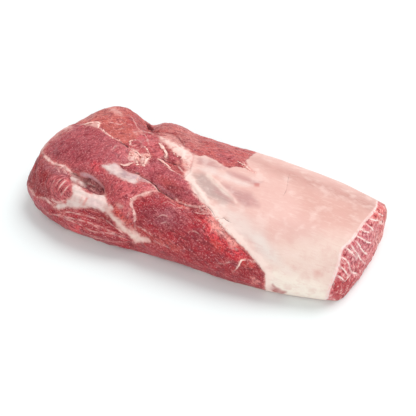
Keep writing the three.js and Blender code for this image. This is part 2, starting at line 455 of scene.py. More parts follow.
TINTS = (
    Patch("brown top of the round muscle", "90,118 100,108 112,104 125,110 122,118 100,122", Hue.BROWN_RED,
          feather=6, strength=0.7),
    Patch("red flank of the round muscle", "125,116 134,113 150,128 148,134 135,132 127,124", Hue.RED,
          feather=4, strength=0.7),
    Patch("purple bloom", "50,146 64,140 88,146 96,158 84,160 62,156", Hue.PURPLE, feather=8,
          strength=0.55),
    Patch("pink band above the end seam", "54,158 64,160 80,162 98,164 102,170 98,176 88,172 72,168 60,164",
          Hue.ROSE, feather=4, strength=0.45, ragged=2.5),
    Patch("vivid tip of that band", "90,160 100,163 106,168 102,176 94,172", Hue.BRIGHT_RED, feather=4,
          strength=0.5),
    Patch("frosted sheen under the end seam", "41,155 48,160 57,165 66,169 69,174 60,177 52,172 44,168",
          Hue.LILAC, feather=4, strength=0.26, ragged=3.5),
    Patch("vivid spot low at the front", "70,226 80,226 80,234 70,233", Hue.BRIGHT_RED, feather=3,
          strength=0.7),
    Patch("vivid edge of the middle muscle", "109,202 115,205 121,212 127,218 134,222 134,228 129,226 "
          "122,221 115,213", Hue.VIVID_ORANGE, feather=2.5, strength=0.85),
    Patch("orange edge under the middle muscle", "128,226 140,228 150,240 142,246 132,236", Hue.ORANGE_RED,
          feather=4, strength=0.6),
    Patch("vivid upper edge of the front muscle", "133,199 144,195 158,193 168,198 160,203 146,205 137,214 "
          "134,208", Hue.DEEP_RED, feather=4, strength=0.6),
    Patch("purple bloom of the front muscle", "140,210 159,204 177,209 188,219 186,231 168,229 149,222",
          Hue.PURPLE, feather=7, strength=0.8),
    Patch("second bloom of the front muscle", "190,230 203,226 208,234 201,243 188,240", Hue.PURPLE,
          feather=5, strength=0.6),
    Patch("vivid right part of the front muscle", "206,210 214,218 224,231 240,246 252,262 240,262 222,250 "
          "206,236 202,220", Hue.BRIGHT_RED, feather=7, strength=0.85),
    Patch("torn pale edge by the border", "207,215 214,220 222,228 232,237 240,245 234,247 224,240 214,230 "
          "208,222", Hue.TORN_PINK, feather=3, strength=0.95, ragged=2.2),
    Patch("pink foot of the front muscle", "136,244 150,250 176,262 204,272 204,277 170,270 140,254",
          Hue.ROSE, feather=4, strength=0.5),
    # Painted shade: the front muscle darker towards its low end.
    Patch("dark low end of the front muscle", "236,264 246,262 262,270 262,280 240,277", Hue.DARK_END,
          feather=5, strength=0.6),
    Patch("orange part of the strip", "158,176 172,180 180,188 176,192 164,186", Hue.ORANGE_RED, feather=5,
          strength=0.5),
    Patch("orange lip of the long cut", "163.4,193.4 167,194.6 172,199 175,202.6 171,202 166,198",
          Hue.TORN_PINK, feather=1.2, strength=0.85, ragged=0.8),
    Patch("red end of the long cut", "176,200 184,202 190,207 184,209 177,206", Hue.VIVID_ORANGE,
          feather=1.8, strength=0.6, ragged=1.4),
    Patch("lilac edge of the long cut", "152,181 158,184 168,190.6 176,197 174,199 165,192.6 158,187.4 "
          "153,183.6", Hue.LILAC, feather=1.2, strength=0.35, ragged=0.8),
    # Painted sheen: lilac flecks of reflected light on the wet front muscle.
    Patch("frost of the front muscle", "157,212 166,209 173,214 172,224 164,229 156,222", Hue.LILAC,
          feather=4, strength=0.14, ragged=4.5),
    Patch("orange streak of the front muscle", "150,237 160,238 170,242 182,248 178,252 164,247 153,243",
          Hue.ORANGE_RED, feather=3, strength=0.6, ragged=2.5),
    Patch("orange lobes of the front muscle", "209,238 217,240 224,248 220,254 212,250", Hue.VIVID_ORANGE,
          feather=3, strength=0.5, ragged=2.5),
    Patch("red lobe under the tuft", "241,262 250,262 258,265 252,268 244,266", Hue.VIVID_ORANGE,
          feather=1.6, strength=0.4, ragged=1.6),
    Patch("pink teeth at the low end", "250,277 256,278 260,283 252,284", Hue.TORN_PINK, feather=1.5,
          strength=0.5, ragged=1.6),
    Patch("pale sheen of the back muscle", "156,124 170,125 190,132 204,142 198,148 186,142 176,132 "
          "160,129", Hue.TAN_FIBRE, feather=4, strength=0.45, ragged=2.5),
    Patch("fibrous tan start of the back muscle", "160,132 168,132 178,135 183,141 184,146 176,145 166,141",
          Hue.TAN_FIBRE, feather=3, strength=0.85),
    Patch("pale sheen of the hump", "78,120 92,110 106,106 120,110 112,116 94,119", Hue.TAN_FIBRE,
          feather=5, strength=0.3, ragged=2.5),
    Patch("pink lobe by the hollow", "113,150 118,146 125,146 129,150 126,156 118,157", Hue.ROSE,
          feather=2.5, strength=0.5),
    Patch("red shade of the hollow", "134,147 140,144 146,147 148,153 141,153 137,151", Hue.DARK_END,
          feather=2, strength=0.5),
    Patch("dark hollow of the back muscle", "216,153 226,152 236,158 232,162 222,161", Hue.MAUVE, feather=4,
          strength=0.7),
    Patch("red pocket of the back muscle", "235,163 241,162 243,168 236,167.5", Hue.DARK_END, feather=1.5,
          strength=1.0),
    Patch("red hollow behind the second cut", "166,151 176,153 181,160 176,164 168,160", Hue.MAUVE,
          feather=3, strength=0.8),
    Patch("dark mouth of the notch", "146,122 150,124 154,129.6 152,132 148.4,128", Hue.CUT_SHADE,
          feather=1.2, strength=0.95, ragged=0.6),
)

MEMBRANE_TINTS = (
    Patch("cool hollow", "190,174 203,173 211.6,179 222,189 232,199 234,206 222,204 206,196 197,185",
          Hue.COOL_GREY, feather=5, strength=0.9),
    Patch("peach right part", "296,182 330,196 372,206 362,222 344,240 322,236 300,214",
          Hue.SILVERSKIN_RIGHT, feather=14, strength=0.85),
    Patch("cool middle", "222,205 240,212 262,232 282,258 270,262 246,244 226,222", Hue.COOL_CREAM,
          feather=9, strength=0.5),
    Patch("grey streak of the middle", "252,236 262,238 282,262 296,274 284,272 266,256", Hue.COOL_CREAM,
          feather=6, strength=0.45),
    Patch("pink cloud of the middle", "282,222 300,220 318,228 326,240 310,246 290,238", Hue.MEMBRANE_MAUVE,
          feather=8, strength=0.12),
    Patch("pale low part", "276,246 300,240 326,233 352,238 348,264 336,296 304,294 278,274",
          Hue.WARM_CREAM, feather=17, strength=0.48),
    Patch("mauve at the back border", "194,157 211,162 224,169 214,169 197,165", Hue.MEMBRANE_MAUVE,
          feather=3, strength=0.7),
    Patch("mauve along the front of the ridge", "214,186 222,190 231,198 238,206 232,206 222,199 214,192",
          Hue.MEMBRANE_MAUVE, feather=2.5, strength=0.55),
    Patch("cream ridge", "206,173 210,174 220,184 231,194 239,203 236,205 226,196 215,186 206,177",
          Hue.WARM_CREAM, feather=1.6, strength=0.5),
    Patch("upper mauve", "227,173 240,174 250,178 262,183 254,185 242,181 231,177", Hue.MEMBRANE_MAUVE,
          feather=3, strength=0.85),
    Patch("lower mauve", "222,184 232,187 241,190.5 251,195 257.5,201 258,207 247,207 238,203 230,196",
          Hue.MEMBRANE_MAUVE, feather=4, strength=0.8),
    Patch("cream band", "193,167 208,169 226,175 244,183 252,187 240,186 222,179 204,173", Hue.CREAM,
          feather=3, strength=0.8),
    Patch("back edge", "252,160 300,174 345,190 380,204 372,212 330,194 280,176", Hue.SILVERSKIN_BACK,
          feather=9, strength=0.9),
    Patch("cream foot", "262,262 290,274 320,284 330,290 326,310 262,310", Hue.WARM_CREAM, feather=9,
          strength=0.95),
    Patch("warm spot by the sawn edge", "313,270 321,269 323,275 315,276", Hue.ORANGE_RED, feather=3,
          strength=0.3),
    Patch("orange strands at the back border", "240,160.6 246,162 251,168 256.6,173.6 250,173 244,168.6",
          Hue.ORANGE_RED, feather=1.4, strength=0.75),
    Patch("warm spot by the mauve", "254.5,184 259,184.5 259,187.5 254.5,187", Hue.BACK_ROSE, feather=1.5,
          strength=0.6),
    Patch("red tear at the foot", "266,284.5 273,283 277,287 286,291.6 283,294 275,292 267,289", Hue.RED,
          feather=1.5, strength=0.9),
)

FILMS = (
    Patch("fascia over the rounded end", "72,184 77,184 83,188.5 91,193 99,194 105,194 107,201 114,209 "
          "104,213 97,209 89.5,207.5 80,208 69,207.5 59,209.5 54,207 58,203.5 65,202.5 70.5,198 73,192",
          Hue.FASCIA, Cover.MEMBRANE, 1.8, 0.96, 0.8, 1.3, sheer=0.15, run_deg=-60),
    Patch("cream upper rim of that fascia", "74,186 80,189 88,194 98,197 104,197 106,203 98,203 88,200 "
          "80,197 74,193", Hue.CREAM, Cover.MEMBRANE, 2.6, 0.7, 0.0, 1.4, halo=0, run_deg=-60),
    Patch("red streak in the fascia", "86.6,197 88.4,198.4 84.6,205.6 82.6,204.6", Hue.HALO, Cover.MEMBRANE,
          0.8, 0.8, -0.3, 0.3, halo=0),
    Patch("pink streak in the fascia", "82,196.6 83.4,197.4 80.6,203 79.4,202.4", Hue.HALO, Cover.MEMBRANE,
          0.8, 0.45, -0.2, 0.3, halo=0),
    Patch("lilac cloud in the fascia", "88,198 97,199 103,204 99,209 90,206", Hue.LILAC, Cover.MEMBRANE,
          2.5, 0.4, 0.0, 0.8, halo=0),
    Patch("fascia band over the front", "106,206 113,211 118.5,217 124,223 130,226.6 136,230 141,235 "
          "146,238 150,242 146,243.4 141,242 136,243 132,240 128,236 124,232 118,227 112,221 106,214",
          Hue.FAT, Cover.MEMBRANE, 1.6, 0.85, 0.8, 1.8, halo=0.15, sheer=0.35, run_deg=-42),
    Patch("pale middle of the band", "110,212 116,218 122,225 130,231 138,236 143,240 136,240 128,234 "
          "119,227 112,219", Hue.WARM_CREAM, Cover.MEMBRANE, 1.6, 0.4, 0.0, 1.4, halo=0, run_deg=-42),
    Patch("white film over the long cut", "102,166.6 108,164 114,163 119.6,163.8 121,167 125,169.4 131,172 "
          "138,174 143,177 150,182.6 141,180.4 136,183 128,181 121,178 114,174.6 108,171.5 104,169",
          Hue.GREY_FILM, Cover.MEMBRANE, 1.5, 0.92, 0.4, 1.3, sheer=0.15, run_deg=-25),
    Patch("white start of that film", "103,166.6 110,164.6 118,164.4 120,169 122,173 117,174 112,172 "
          "107,169.6", Hue.CREAM, Cover.MEMBRANE, 1.6, 0.8, 0.0, 1.2, halo=0, run_deg=-25),
    Patch("lilac end of that film", "127,172 134,174 141,177.6 137,180 130,178", Hue.LILAC, Cover.MEMBRANE,
          1.8, 0.45, 0.0, 0.8, halo=0, run_deg=-25),
    Patch("bright lower rim of that film", "110,171 120,175.4 128,179.4 137,181 136,183 127,181 118,177.4",
          Hue.CREAM, Cover.MEMBRANE, 1.2, 0.55, 0.0, 0.6, halo=0),
    Patch("fat along the back of the rounded end", "41,152 45,147 51,140 59,134.5 71,129 71,124 56,128 "
          "40,146", Hue.FAT, Cover.FAT, 1.6, 0.75, 0.4, 1.4, sheer=0.6, run_deg=40),
    Patch("flap of fat on the round muscle", "82,125 88,122.6 99,121.6 101.6,124 99,126 99.5,129 95,127 "
          "90,126", Hue.FAT, Cover.FAT, 1.0, 0.75, 1.0, 1.0, sheer=0.5, run_deg=10),
    Patch("fat on top of the round muscle", "108,107 114,108 122,111.6 122,116 116,113.6 109,110", Hue.FAT,
          Cover.FAT, 2.0, 0.6, 0.5, 1.8, sheer=0.6, run_deg=-25),
    Patch("ragged fat", "129,152 132,150.5 137,152.6 140,156 138.6,162 134.6,161 130,160.4 128.4,155",
          Hue.PALE_FAT, Cover.FAT, 1.0, 0.8, 1.2, 1.5, sheer=0.3),
    Patch("second ragged fat", "140.6,158 146,154.6 151.6,155.4 149.8,159 147.4,159.4 147.4,163 143.4,166 "
          "140,163", Hue.PALE_FAT, Cover.FAT, 1.0, 0.75, 1.2, 1.5, sheer=0.4),
    Patch("lump of fat by the silverskin", "157,136 162,136 167,138 174,141 181,145 187,148.6 192,153.6 "
          "193,160 190,165 185,165 181.4,161.4 180.6,155 175,152.4 170,149.6 165,146 160,142", Hue.FAT,
          Cover.FAT, 1.6, 0.9, 0.6, 1.6, halo=0.25, sheer=0.4, run_deg=-38),
    Patch("pale crest of that lump", "160,137 168,140.6 177.5,145 186,149.6 192.6,155 192,164 186,164.6 "
          "181.6,158 173,150 165,143", Hue.PALE_FAT, Cover.FAT, 1.8, 0.7, 0.2, 2.0, halo=0, sheer=0.6,
          run_deg=-38),
    Patch("pink foot of that lump", "176,160 182,162.6 188,165 190,170 184,171 178,166", Hue.TORN_PINK,
          Cover.TINT, 1.6, 0.6, 0.3, 1.6, halo=0, run_deg=-40),
    Patch("bridge from the lump to the silverskin", "187,152 193,153 198,157 198,166 194,172 187,172 "
          "184,167 189,163", Hue.FAT, Cover.FAT, 2.5, 0.7, 0.0, 1.6, halo=0, sheer=0.3),
    Patch("fat in the V seam", "130,203 131.4,199 136,195.6 146,191.6 157,190 159.4,192 150,193.6 "
          "140,196.6 134,199.6 132.4,203", Hue.FAT, Cover.FAT, 1.1, 0.7, 0.3, 1.5, sheer=0.6, run_deg=30),
    Patch("tan strips in the pocket", "70,172 76,173 82,175.7 86.6,181 86.6,189 79.3,186.4 70.7,181.6",
          Hue.POCKET_TAN, Cover.MEMBRANE, 1.0, 0.8, 0.0, 0.8, halo=0, sheer=0.6, run_deg=-35),
    Patch("pale strip in the pocket", "70.4,176 79,179.6 87,185.4 85.6,187.4 78,183 70.4,179", Hue.FASCIA,
          Cover.MEMBRANE, 0.8, 0.7, 0.6, 0.8, halo=0, run_deg=-35),
    Patch("lilac lining of the pocket", "80,172 89.3,173.6 96.6,178.4 102.4,185.8 104.6,192.6 101,188.4 "
          "95,183.4 87.9,180 81,176", Hue.LILAC, Cover.MEMBRANE, 0.9, 0.95, 0.0, 0.5),
    Patch("pale spot of the middle muscle", "116,203.6 120,203.6 123.4,207 120,208 116.4,206", Hue.FAT,
          Cover.MEMBRANE, 1.6, 0.5, 0.2, 0.6),
)

SAWN_TINTS = (
    Patch("lilac middle of the sawn face", "346,250 356,238 368,228 372,240 362,256 350,266",
          Hue.SAWN_LILAC, feather=5, strength=0.6),
    Patch("orange outer edge of the sawn face", "382,226 390,226 390,250 376,268 360,290 362,278 372,258 "
          "379,242", Hue.SAWN_ORANGE, feather=4, strength=0.8),
    Patch("orange upper end", "374,204 386,206 389,222 380,226 372,218", Hue.SAWN_ORANGE, feather=4,
          strength=0.6),
    Patch("bloody low end", "334,284 340,278 350,276 357,280 352,294 342,302 333,298", Hue.SAWN_RED,
          feather=3, strength=0.85),
    Patch("bloody spot at the lower right", "356,264 364,262 364,274 356,276", Hue.SAWN_RED, feather=3,
          strength=0.4),
    Patch("pale upper part", "374,232 382,232 382,246 374,246", Hue.FAT, feather=4, strength=0.35),
    Patch("dot of fat", "379.4,221 382.6,221 382.6,224.4 379.4,224.4", Hue.PALE_FAT, feather=0.9,
          strength=0.95, ragged=0.3),
)

BORDER_FAT = (
    "189,172 186.5,177 191,182 194.5,188 199,194 204.6,200.8 210,206.6 216,213 221,220 226,226.6 234,233.6 "
    "242,241.6 250,249 255,255.6 261,261.6 266,267.6 268,274 268,285 269,293"
)

SEAMS = (
    Seam("end seam", "42.5,153.5 47,158 51,161.6 56.5,164.4 63.5,166.5 68,169.6 71,172", 3.0, 1.9, 0.6),
    Seam("lower end seam", "27,186 34,194 38,197 45,199 50,203 55,207", 2.6, 0.9, 0.5),
    Seam("pale streak of the oval muscle", "66,180.6 61.6,184.6 58,190", 1.4, 0.8, 0.3),
    Seam("second pale streak of the oval muscle", "68.6,186 64.6,190 61,195.6", 1.4, 0.8, 0.3),
    Seam("third pale streak of the oval muscle", "55,179.6 52.6,184 52,189", 1.2, 0.5),
    Seam("fourth pale streak of the oval muscle", "62,179 58,182 55.6,186", 1.1, 0.5),
    Seam("pale rim of the oval muscle", "51,198.6 55,201.4 60,202 66,200", 1.8, 0.8, 0.3),
    Seam("light line of the lower lip", "42,208 46,212 51,215", 1.6, 0.5),
    Seam("streak by the end seam", "55,167.5 58,170 60,173", 1.2, 0.4),
    Seam("second streak by the end seam", "60,168 63,170.6 65,173.6", 1.2, 0.4),
    Seam("long grain 1", "60,212 72,212.6 82,215 91,217 100,221", 1.5, 0.6, 0.4),
    Seam("long grain 2", "58,214 69,217.5 79,220 90,223 98,228", 1.4, 0.55, 0.4),
    Seam("long grain 3", "50,214 59.5,216 68,220 80,225 90,230", 1.4, 0.5, 0.4),
    Seam("long grain 4", "84,228 95,232 104,232.6 114,234 124,238", 1.5, 0.55, 0.4),
    Seam("long grain 5", "98,218 106,220 112,224.6 120,231 126,237", 1.4, 0.5, 0.3),
    Seam("long grain 6", "90,237 104,240 118,242 128,242", 1.3, 0.5, 0.3),
    Seam("long grain 7", "96,225 106,229 114,233 122,238", 1.2, 0.45, 0.3),
    Seam("long grain 8", "66,226 78,231 90,235 100,238", 1.2, 0.4, 0.3),
    Seam("edge of the round muscle", "98,128 103,131 110,136 120,141", 1.8, 0.6, 0.4),
    Seam("line on the round muscle", "108,122 114,122.6 120,124 125,122", 1.3, 0.55),
    Seam("short line on the round muscle", "118,129 125,127.5", 1.1, 0.4),
    Seam("upper line on the round muscle", "108,120 113,118", 1.1, 0.4),
    Seam("fold of the round muscle", "129,115 133,120 137,127 140,131", 1.6, 0.4),
    # Over the hollow, the pale of these ridges, strands and lobes is partly painted highlight.
    Seam("tube above the hollow", "134,132 141,132 148,133 154,135", 2.6, 0.8, 1.2),
    Seam("arch of the hollow", "135,134.6 141,134 145,136 147,140 149,146.5", 2.2, 0.5, 0.9),
    Seam("ring of the hollow", "136.6,145 133,146 130.4,144 131,141 134.6,140", 1.8, 0.8, 0.8),
    Seam("second ring of the hollow", "129,148.6 132,149 135,151 138,150.6", 1.6, 0.5, 0.7),
    Seam("lip of the hollow cut", "144,146.5 147,150 148.4,153.6 151,155.6", 1.8, 0.6, 0.9),
    Seam("fold of the hollow", "137,140 141,143 142,147 140,150", 2.2, 0.25, 0.8),
    Seam("lobe by the short cut", "112,150 116,146.4 122,145 127,148", 2.4, 0.25, 0.9),
    Seam("lip of the second cut", "158,159 162,161 166,165 170.5,169.6 176,172 180,174.6 185,177", 1.8,
         0.85, 0.9),
    Seam("line beside the second cut", "177,165 181,169 184.6,172 190,173", 1.5, 0.6, 0.4),
    Seam("white curl", "161,144 163.5,149 165.6,152 166,158.4", 3.2, 0.9, 1.2),
    Seam("shred of the film", "120,164 124,165 128,164 134,162.6", 1.6, 0.8, 0.8),
    Seam("lip of the long cut", "141,176.5 149.5,182 153.7,186 158.6,190", 1.8, 0.85, 0.7),
    Seam("thread in the pocket", "85.6,181.6 90,183.6 95,186.6", 1.0, 0.6, 0.2),
    Seam("second thread in the pocket", "90,186.6 95,189.4 100,192", 1.0, 0.6, 0.2),
    Seam("V seam, upper arm", "159,191.4 152,191.4 146,193 139.6,195 134,197 131,200", 1.8, 0.5, 0.2),
    Seam("V seam, lower arm", "131,200 131.6,206 134,211 134.7,218 134.6,224 136,229", 2.2, 0.9, 0.3),
    Seam("side branch of the V seam", "130.4,208 128.6,214 127,218", 1.8, 0.5),
    Seam("lower branch of the V seam", "136.7,226 141.6,228 146.5,232 152,235.6", 1.6, 0.7),
    Seam("front line 1", "181,202 185,204.6 189.6,206 198,206.6 205,206 209,208", 2.2, 1.2, 0.5),
    Seam("fleck by the long cut", "175.6,199.4 178.4,202", 2.0, 1.2, 0.5),
    Seam("front line 2", "172.5,209.6 180,208 188,209", 1.2, 0.45),
    Seam("front line 3", "162,204 167.5,202 172,204 175,206", 1.2, 0.4),
    Seam("front line 4", "194,212 203,214 212.5,214", 1.5, 0.6),
    Seam("front line 5", "200,210 207,212 214,217", 1.3, 0.5),
    # The front tick and the dash after it are painted highlights; the cut under the tick paints its shade.
    Seam("front tick", "197,219.5 200.5,221", 1.4, 0.7, 0.6),
    Seam("dash by the border", "228,247.4 233,249 237,250", 1.4, 0.55),
    Seam("dash of the bloom", "158,217 163,215 168,217", 1.1, 0.4),
    Seam("second dash of the bloom", "160,224 166,222 170,225", 1.1, 0.35),
    Seam("third dash of the bloom", "188,232 194,231 199,234", 1.1, 0.35),
    Seam("streak by the orange one", "152,241 160,243.6 170,248", 1.3, 0.35),
    Seam("fan 1", "211,219 206,224 203,229", 1.1, 0.35),
    Seam("fan 2", "213,220 212,227 210,233", 1.1, 0.35),
    Seam("fan 3", "216,221 221,228 226,236", 1.2, 0.4),
    Seam("whitish fleck 1", "218,230.5 223.5,234", 2.0, 0.45),
    Seam("whitish fleck 2", "216,229 223,234 227,240", 1.3, 0.35),
    Seam("low front tuft", "233,272 237,268 239,263.5 241.4,259.3", 1.6, 0.7, 0.5),
    Seam("low front tuft, upper line", "241.4,259.3 249,260.4 255,261.4 260,265", 1.6, 0.65, 0.5),
    Seam("low front line", "217.5,263 224,263.5 231,262", 1.2, 0.5),
    # A painted highlight.
    Seam("low front fleck", "235,248 239,249", 1.4, 0.4),
    Seam("low front line 2", "245.6,266 249,263", 1.0, 0.4),
    Seam("orange strands", "242,161 247,167 251.6,171", 2.0, 0.5, 0.5),
    Seam("edge of the tan fibres", "178,134.6 183,140 185,146", 1.0, 0.3),
    Seam("ridge under the silverskin", "207,174 214,180 222,188 230.5,195 236,203", 2.4, 0.4, 0.9),
    Seam("upper sawn edge", stretch(SAWN_EDGE, 0, 8), 2.2, 0.95, 0.3),
    Seam("lower sawn edge", stretch(SAWN_EDGE, 7, 15), 3.4, 0.95, 0.3),
    Seam("vein 1", "360.5,228.4 364.7,231.3 371,232.7", 1.7, 1.6, 0.1),
    Seam("vein 2", "356.9,235.5 362.6,239 366.9,241.9 372,243", 1.7, 1.6, 0.1),
    Seam("vein 3", "353.3,239.8 359,244.8 362.6,251.2 366.9,254", 1.7, 1.6, 0.1),
    Seam("vein 4", "349,244 354.8,251.2 359.7,258.3 364.7,264", 1.8, 1.7, 0.1),
    Seam("vein 5", "345.5,247 349.8,251.2 354.8,256.9 355.5,259.7", 1.7, 1.6, 0.1),
    Seam("vein 6", "341.3,256.9 347,261 349.8,269.7 352.6,272.5 357.6,274", 1.8, 1.7, 0.1),
    Seam("vein 7", "340.5,266.8 344,269.7 347,275.3", 1.7, 1.6, 0.1),
    Seam("vein 8", "337.7,275.3 341.3,278.2 344,281", 1.6, 1.6, 0.1),
    Seam("vein 9", "350,275 343,281.4", 1.6, 1.5, 0.1),
    Seam("vein 10", "365.4,222.7 371,227 374,231.3", 1.6, 1.5, 0.1),
    Seam("vein 11", "369.7,218.4 376.8,220.6 380,220", 1.6, 1.4, 0.1),
    Seam("vein 12", "374,211 379,214 383,216", 1.5, 1.3, 0.1),
)

CUTS = (
    Cut("short cut behind", "120,141.6 125.6,144.4 129.5,147.4", 1.9, 2.2, 1.3),
    Cut("notch at the back", "146.6,122 149,126 151.4,130", 2.4, 4.6, 1.0),
    Cut("gap beside the notch", "152,131 158,132 164,131.4 171,132 177,135 182,141 186,148", 1.5, 1.6,
        0.55),
    Cut("cut in the hollow", "144.6,145 147.6,149 150.4,153 152.4,156.6", 1.5, 2.0, 0.85),
    Cut("gap inside the ring", "132,143.6 134.6,142.6 136.6,143.4", 1.3, 1.2, 0.55),
    Cut("gap in the ragged fat", "134,151.6 137,153.4 139.6,156 139.6,160", 1.4, 1.6, 0.8),
    Cut("gap under the second fat", "141,163.6 144,161 146,158.6", 1.1, 1.0, 0.6),
    Cut("shade of the ragged fat", "129,162 133,163 137.6,163.6 140,161", 1.4, 1.2, 0.6),
    Cut("gap by the lobe", "112,153 116,149.4 122,148.6", 1.2, 0.8, 0.35),
    Cut("second cut", "161.5,158.4 166,160.4 171,162.4 177,164.4 182,163.4", 1.8, 1.8, 1.7),
    Cut("gap beside the curl", "163,144.6 166.6,149 167.6,154 168.6,159", 1.5, 1.8, 0.75),
    Cut("shade under the lump", "168,150.6 174,154 179,157.6 180.6,161", 1.3, 0.9, 0.4),
    # Painted shadow that the overhanging edge casts on the white film.
    Cut("edge over the white film", "120,165 124,167.6 130,170.6 138,173.4 143,177", 1.5, 1.8, 1.0),
    Cut("end of the white film", "137,178.4 143,179", 1.0, 0.8, 0.5),
    Cut("long cut", "139,173 143,177 150,181 155,185 159,190 165.6,194 172,198.4 176,201", 1.8, 1.7, 1.8),
    Cut("tail of the long cut", "175,201 181,204.6 188,206.6 196,209", 1.4, 0.7, 0.7),
    Cut("mouth of the pocket", "83,180 90,183 97,188 103,193", 5.5, 4.5, 0.0),
    Cut("upper shade of the pocket", "84,178.6 90,180.6 96,184.6 101,189 104,193", 1.6, 1.6, 0.85),
    Cut("lower shade of the pocket", "84,185 90,189 97,192.6 103.6,194", 1.5, 1.2, 0.8),
    Cut("shade in the pocket", "88,183 93,185.6 99,190", 1.2, 0.6, 0.6),
    Cut("shade under the pale strip", "71,180.6 77.5,184 84.6,188.4", 1.2, 0.8, 0.55),
    Cut("shade over the pale strip", "70.5,173 76,175 82,178.6 87,183", 1.3, 0.8, 0.6),
    Cut("crack of the back muscle", "226,156.6 229,159.4 234,161.6", 1.3, 1.4, 0.7),
    Cut("edge of the red pocket", "235,163 240,162.4 243,166", 1.2, 1.2, 0.55),
    Cut("crack in the border", "216.5,217 221,219 223.5,218 226,220 230.5,222.5", 1.1, 0.8, 0.7),
    Cut("edge under the border", "204,203.4 211,210 215,216.5", 1.1, 0.6, 0.45),
    Cut("dark line of the front muscle", "166,228.6 174,232 181,237 189,242", 1.1, 0.9, 0.55),
    Cut("second dark line of the front muscle", "186,213 190.6,218 194,225", 1.1, 0.9, 0.45),
    Cut("third dark line of the front muscle", "202,228 206.6,236 208,246", 1.1, 0.9, 0.4),
    Cut("fourth dark line of the front muscle", "150,221 157,229 166,235", 1.1, 0.8, 0.35),
    Cut("dark line under the tuft", "243,262.6 248,267 250,273", 1.2, 0.9, 0.5),
    Cut("shade under the tick", "197,221.4 201,223", 1.2, 0.8, 0.6),
    Cut("dark fleck 1", "90,208 95,209 98,210.5", 1.3, 0.8, 0.5),
    Cut("dark fleck 2", "109,219 112,223", 1.2, 0.6, 0.5),
    Cut("dark fleck 3", "113.5,226 118,228", 1.1, 0.6, 0.4),
    Cut("dark streak low at the front", "247,269 254,269 260,268", 1.4, 0.6, 0.5),
    Cut("join at the foot", "128,242 131,244.6 134,248", 2.0, 2.2, 0.4),
    Cut("dark streak of the oval muscle", "64,178.6 59.6,182 56.6,187 56,192", 1.2, 0.8, 0.8),
    Cut("second dark streak of the oval muscle", "67.6,183 63,187.4 60,193", 1.2, 0.8, 0.8),
    Cut("third dark streak of the oval muscle", "53,190 54,195 58,198.6", 1.2, 0.8, 0.7),
    Cut("dark streak of the rounded end", "37,160 34.6,168 35,177", 1.3, 0.8, 0.7),
    Cut("second dark streak of the rounded end", "44,166 41,174 41.6,184", 1.2, 0.8, 0.7),
    Cut("third dark streak of the rounded end", "30,168 28,175 29,182", 1.2, 0.8, 0.6),
    Cut("edge of the rounded end", "50,182 49,188 50,194 50,200", 1.2, 0.8, 0.4),
    Cut("thin crease of the silverskin", "289.4,174 287.6,182 286.4,190 283,197", 0.8, 0.5, 0.3),
    Cut("sawn spot 1", "333,288 336,291", 1.8, 0.5, 0.6),
    Cut("sawn spot 2", "342,285 345,287.6", 1.6, 0.5, 0.5),
    Cut("sawn spot 3", "356,270 358.6,272", 1.4, 0.4, 0.5),
)


@dataclass(frozen=True)
class Shred:
    """A torn strip of fat or fascia that lies on the flesh.

    Attributes:
        name: What it is.
        path: Its line in the picture, in pixels.
        width: Its width in millimetres, where it is widest.
        rise: How high its middle stands above the skin, in millimetres.
    """

    name: str
    path: Trace
    width: float = 2.0
    rise: float = 0.4


@dataclass(frozen=True)
class Crumbs:
    """Frayed bits of fat and fascia along a torn line.

    Attributes:
        name: What they are.
        path: The line in the picture, in pixels.
        spread: How far they lie from it, in millimetres.
        count: How many there are.
        size: Length of the largest in millimetres.
    """

    name: str
    path: Trace
    spread: float
    count: int
    size: float


SHREDS = (
    Shred("bridge between the fats", "131,149.5 134,151 137.5,152.4 139.6,155 142,156.5", 2.0, 0.5),
    Shred("rim of the second fat", "141,157.4 145,155.2 150,154.8", 2.4, 0.6),
    Shred("drop of the second fat", "148.6,157.6 146.4,160.4 145,163.4 143.2,165.4", 2.6, 0.6),
    Shred("shred of the white film", "120,164 124,165.4 128,165 133,162.4", 1.8, 0.7),
    Shred("white curl", "158.6,142.6 162,147 165,151 166.2,155 165.6,158.6", 3.4, 0.6),
    Shred("lip of the second cut", "157.5,158.8 161,160.5 166,164.6 171,168.4", 2.2, 0.5),
    Shred("flap of the round muscle", "84,124.8 90,123 97,122.4 100.4,123.8", 2.4, 0.4),
    Shred("end of that flap", "98,123.6 98.6,126 98.2,128.4", 2.6, 0.4),
    Shred("orange strand", "240.6,163.6 244.6,165.4 248,168.8 251.4,171", 1.8, 0.5),
    Shred("tuft at the low front", "236.4,269 239,265 241.6,260.4 246,260.2", 1.9, 0.4),
)

CRUMBS = (
    Crumbs("first ragged fat", "130,152 132,154 135,157.6 137,161", 3.2, 26, 4.6),
    Crumbs("second ragged fat", "141.6,157 146,156 150,156 146.6,160 144,164.6", 2.0, 26, 4.2),
    Crumbs("rim of the hollow", "130,147 130,143 132,140.4 136,140", 1.0, 14, 2.6),
    Crumbs("lip of the hollow cut", "145,146.6 147.6,150.6 149.4,154.6", 1.0, 10, 2.8),
    Crumbs("white curl", "161,144 164,148.6 166,153 166,158", 0.9, 14, 2.8),
    Crumbs("edge of the round muscle", "101,129.6 104.6,132 108,134.6 112.4,137.6 118,140.4", 1.4, 26, 1.7),
    Crumbs("end of the white film", "132,171 136,173.6 139,177 137,180", 1.4, 14, 2.0),
    Crumbs("foot of the lump", "174,153 180,158 186,163 190,167", 2.6, 22, 2.2),
    Crumbs("orange pocket", "239,162 244,166 249,170 254,173", 1.8, 20, 2.2),
    Crumbs("V seam", "152,191.6 144,194 136,197 131,200 131.6,206 134,213", 1.2, 24, 1.7),
    Crumbs("torn border", "206,208 213,215 221,224 229,232 238,241", 2.6, 30, 2.0),
    Crumbs("tuft at the low front", "240,259 247,260 254,262", 1.4, 10, 1.6),
)


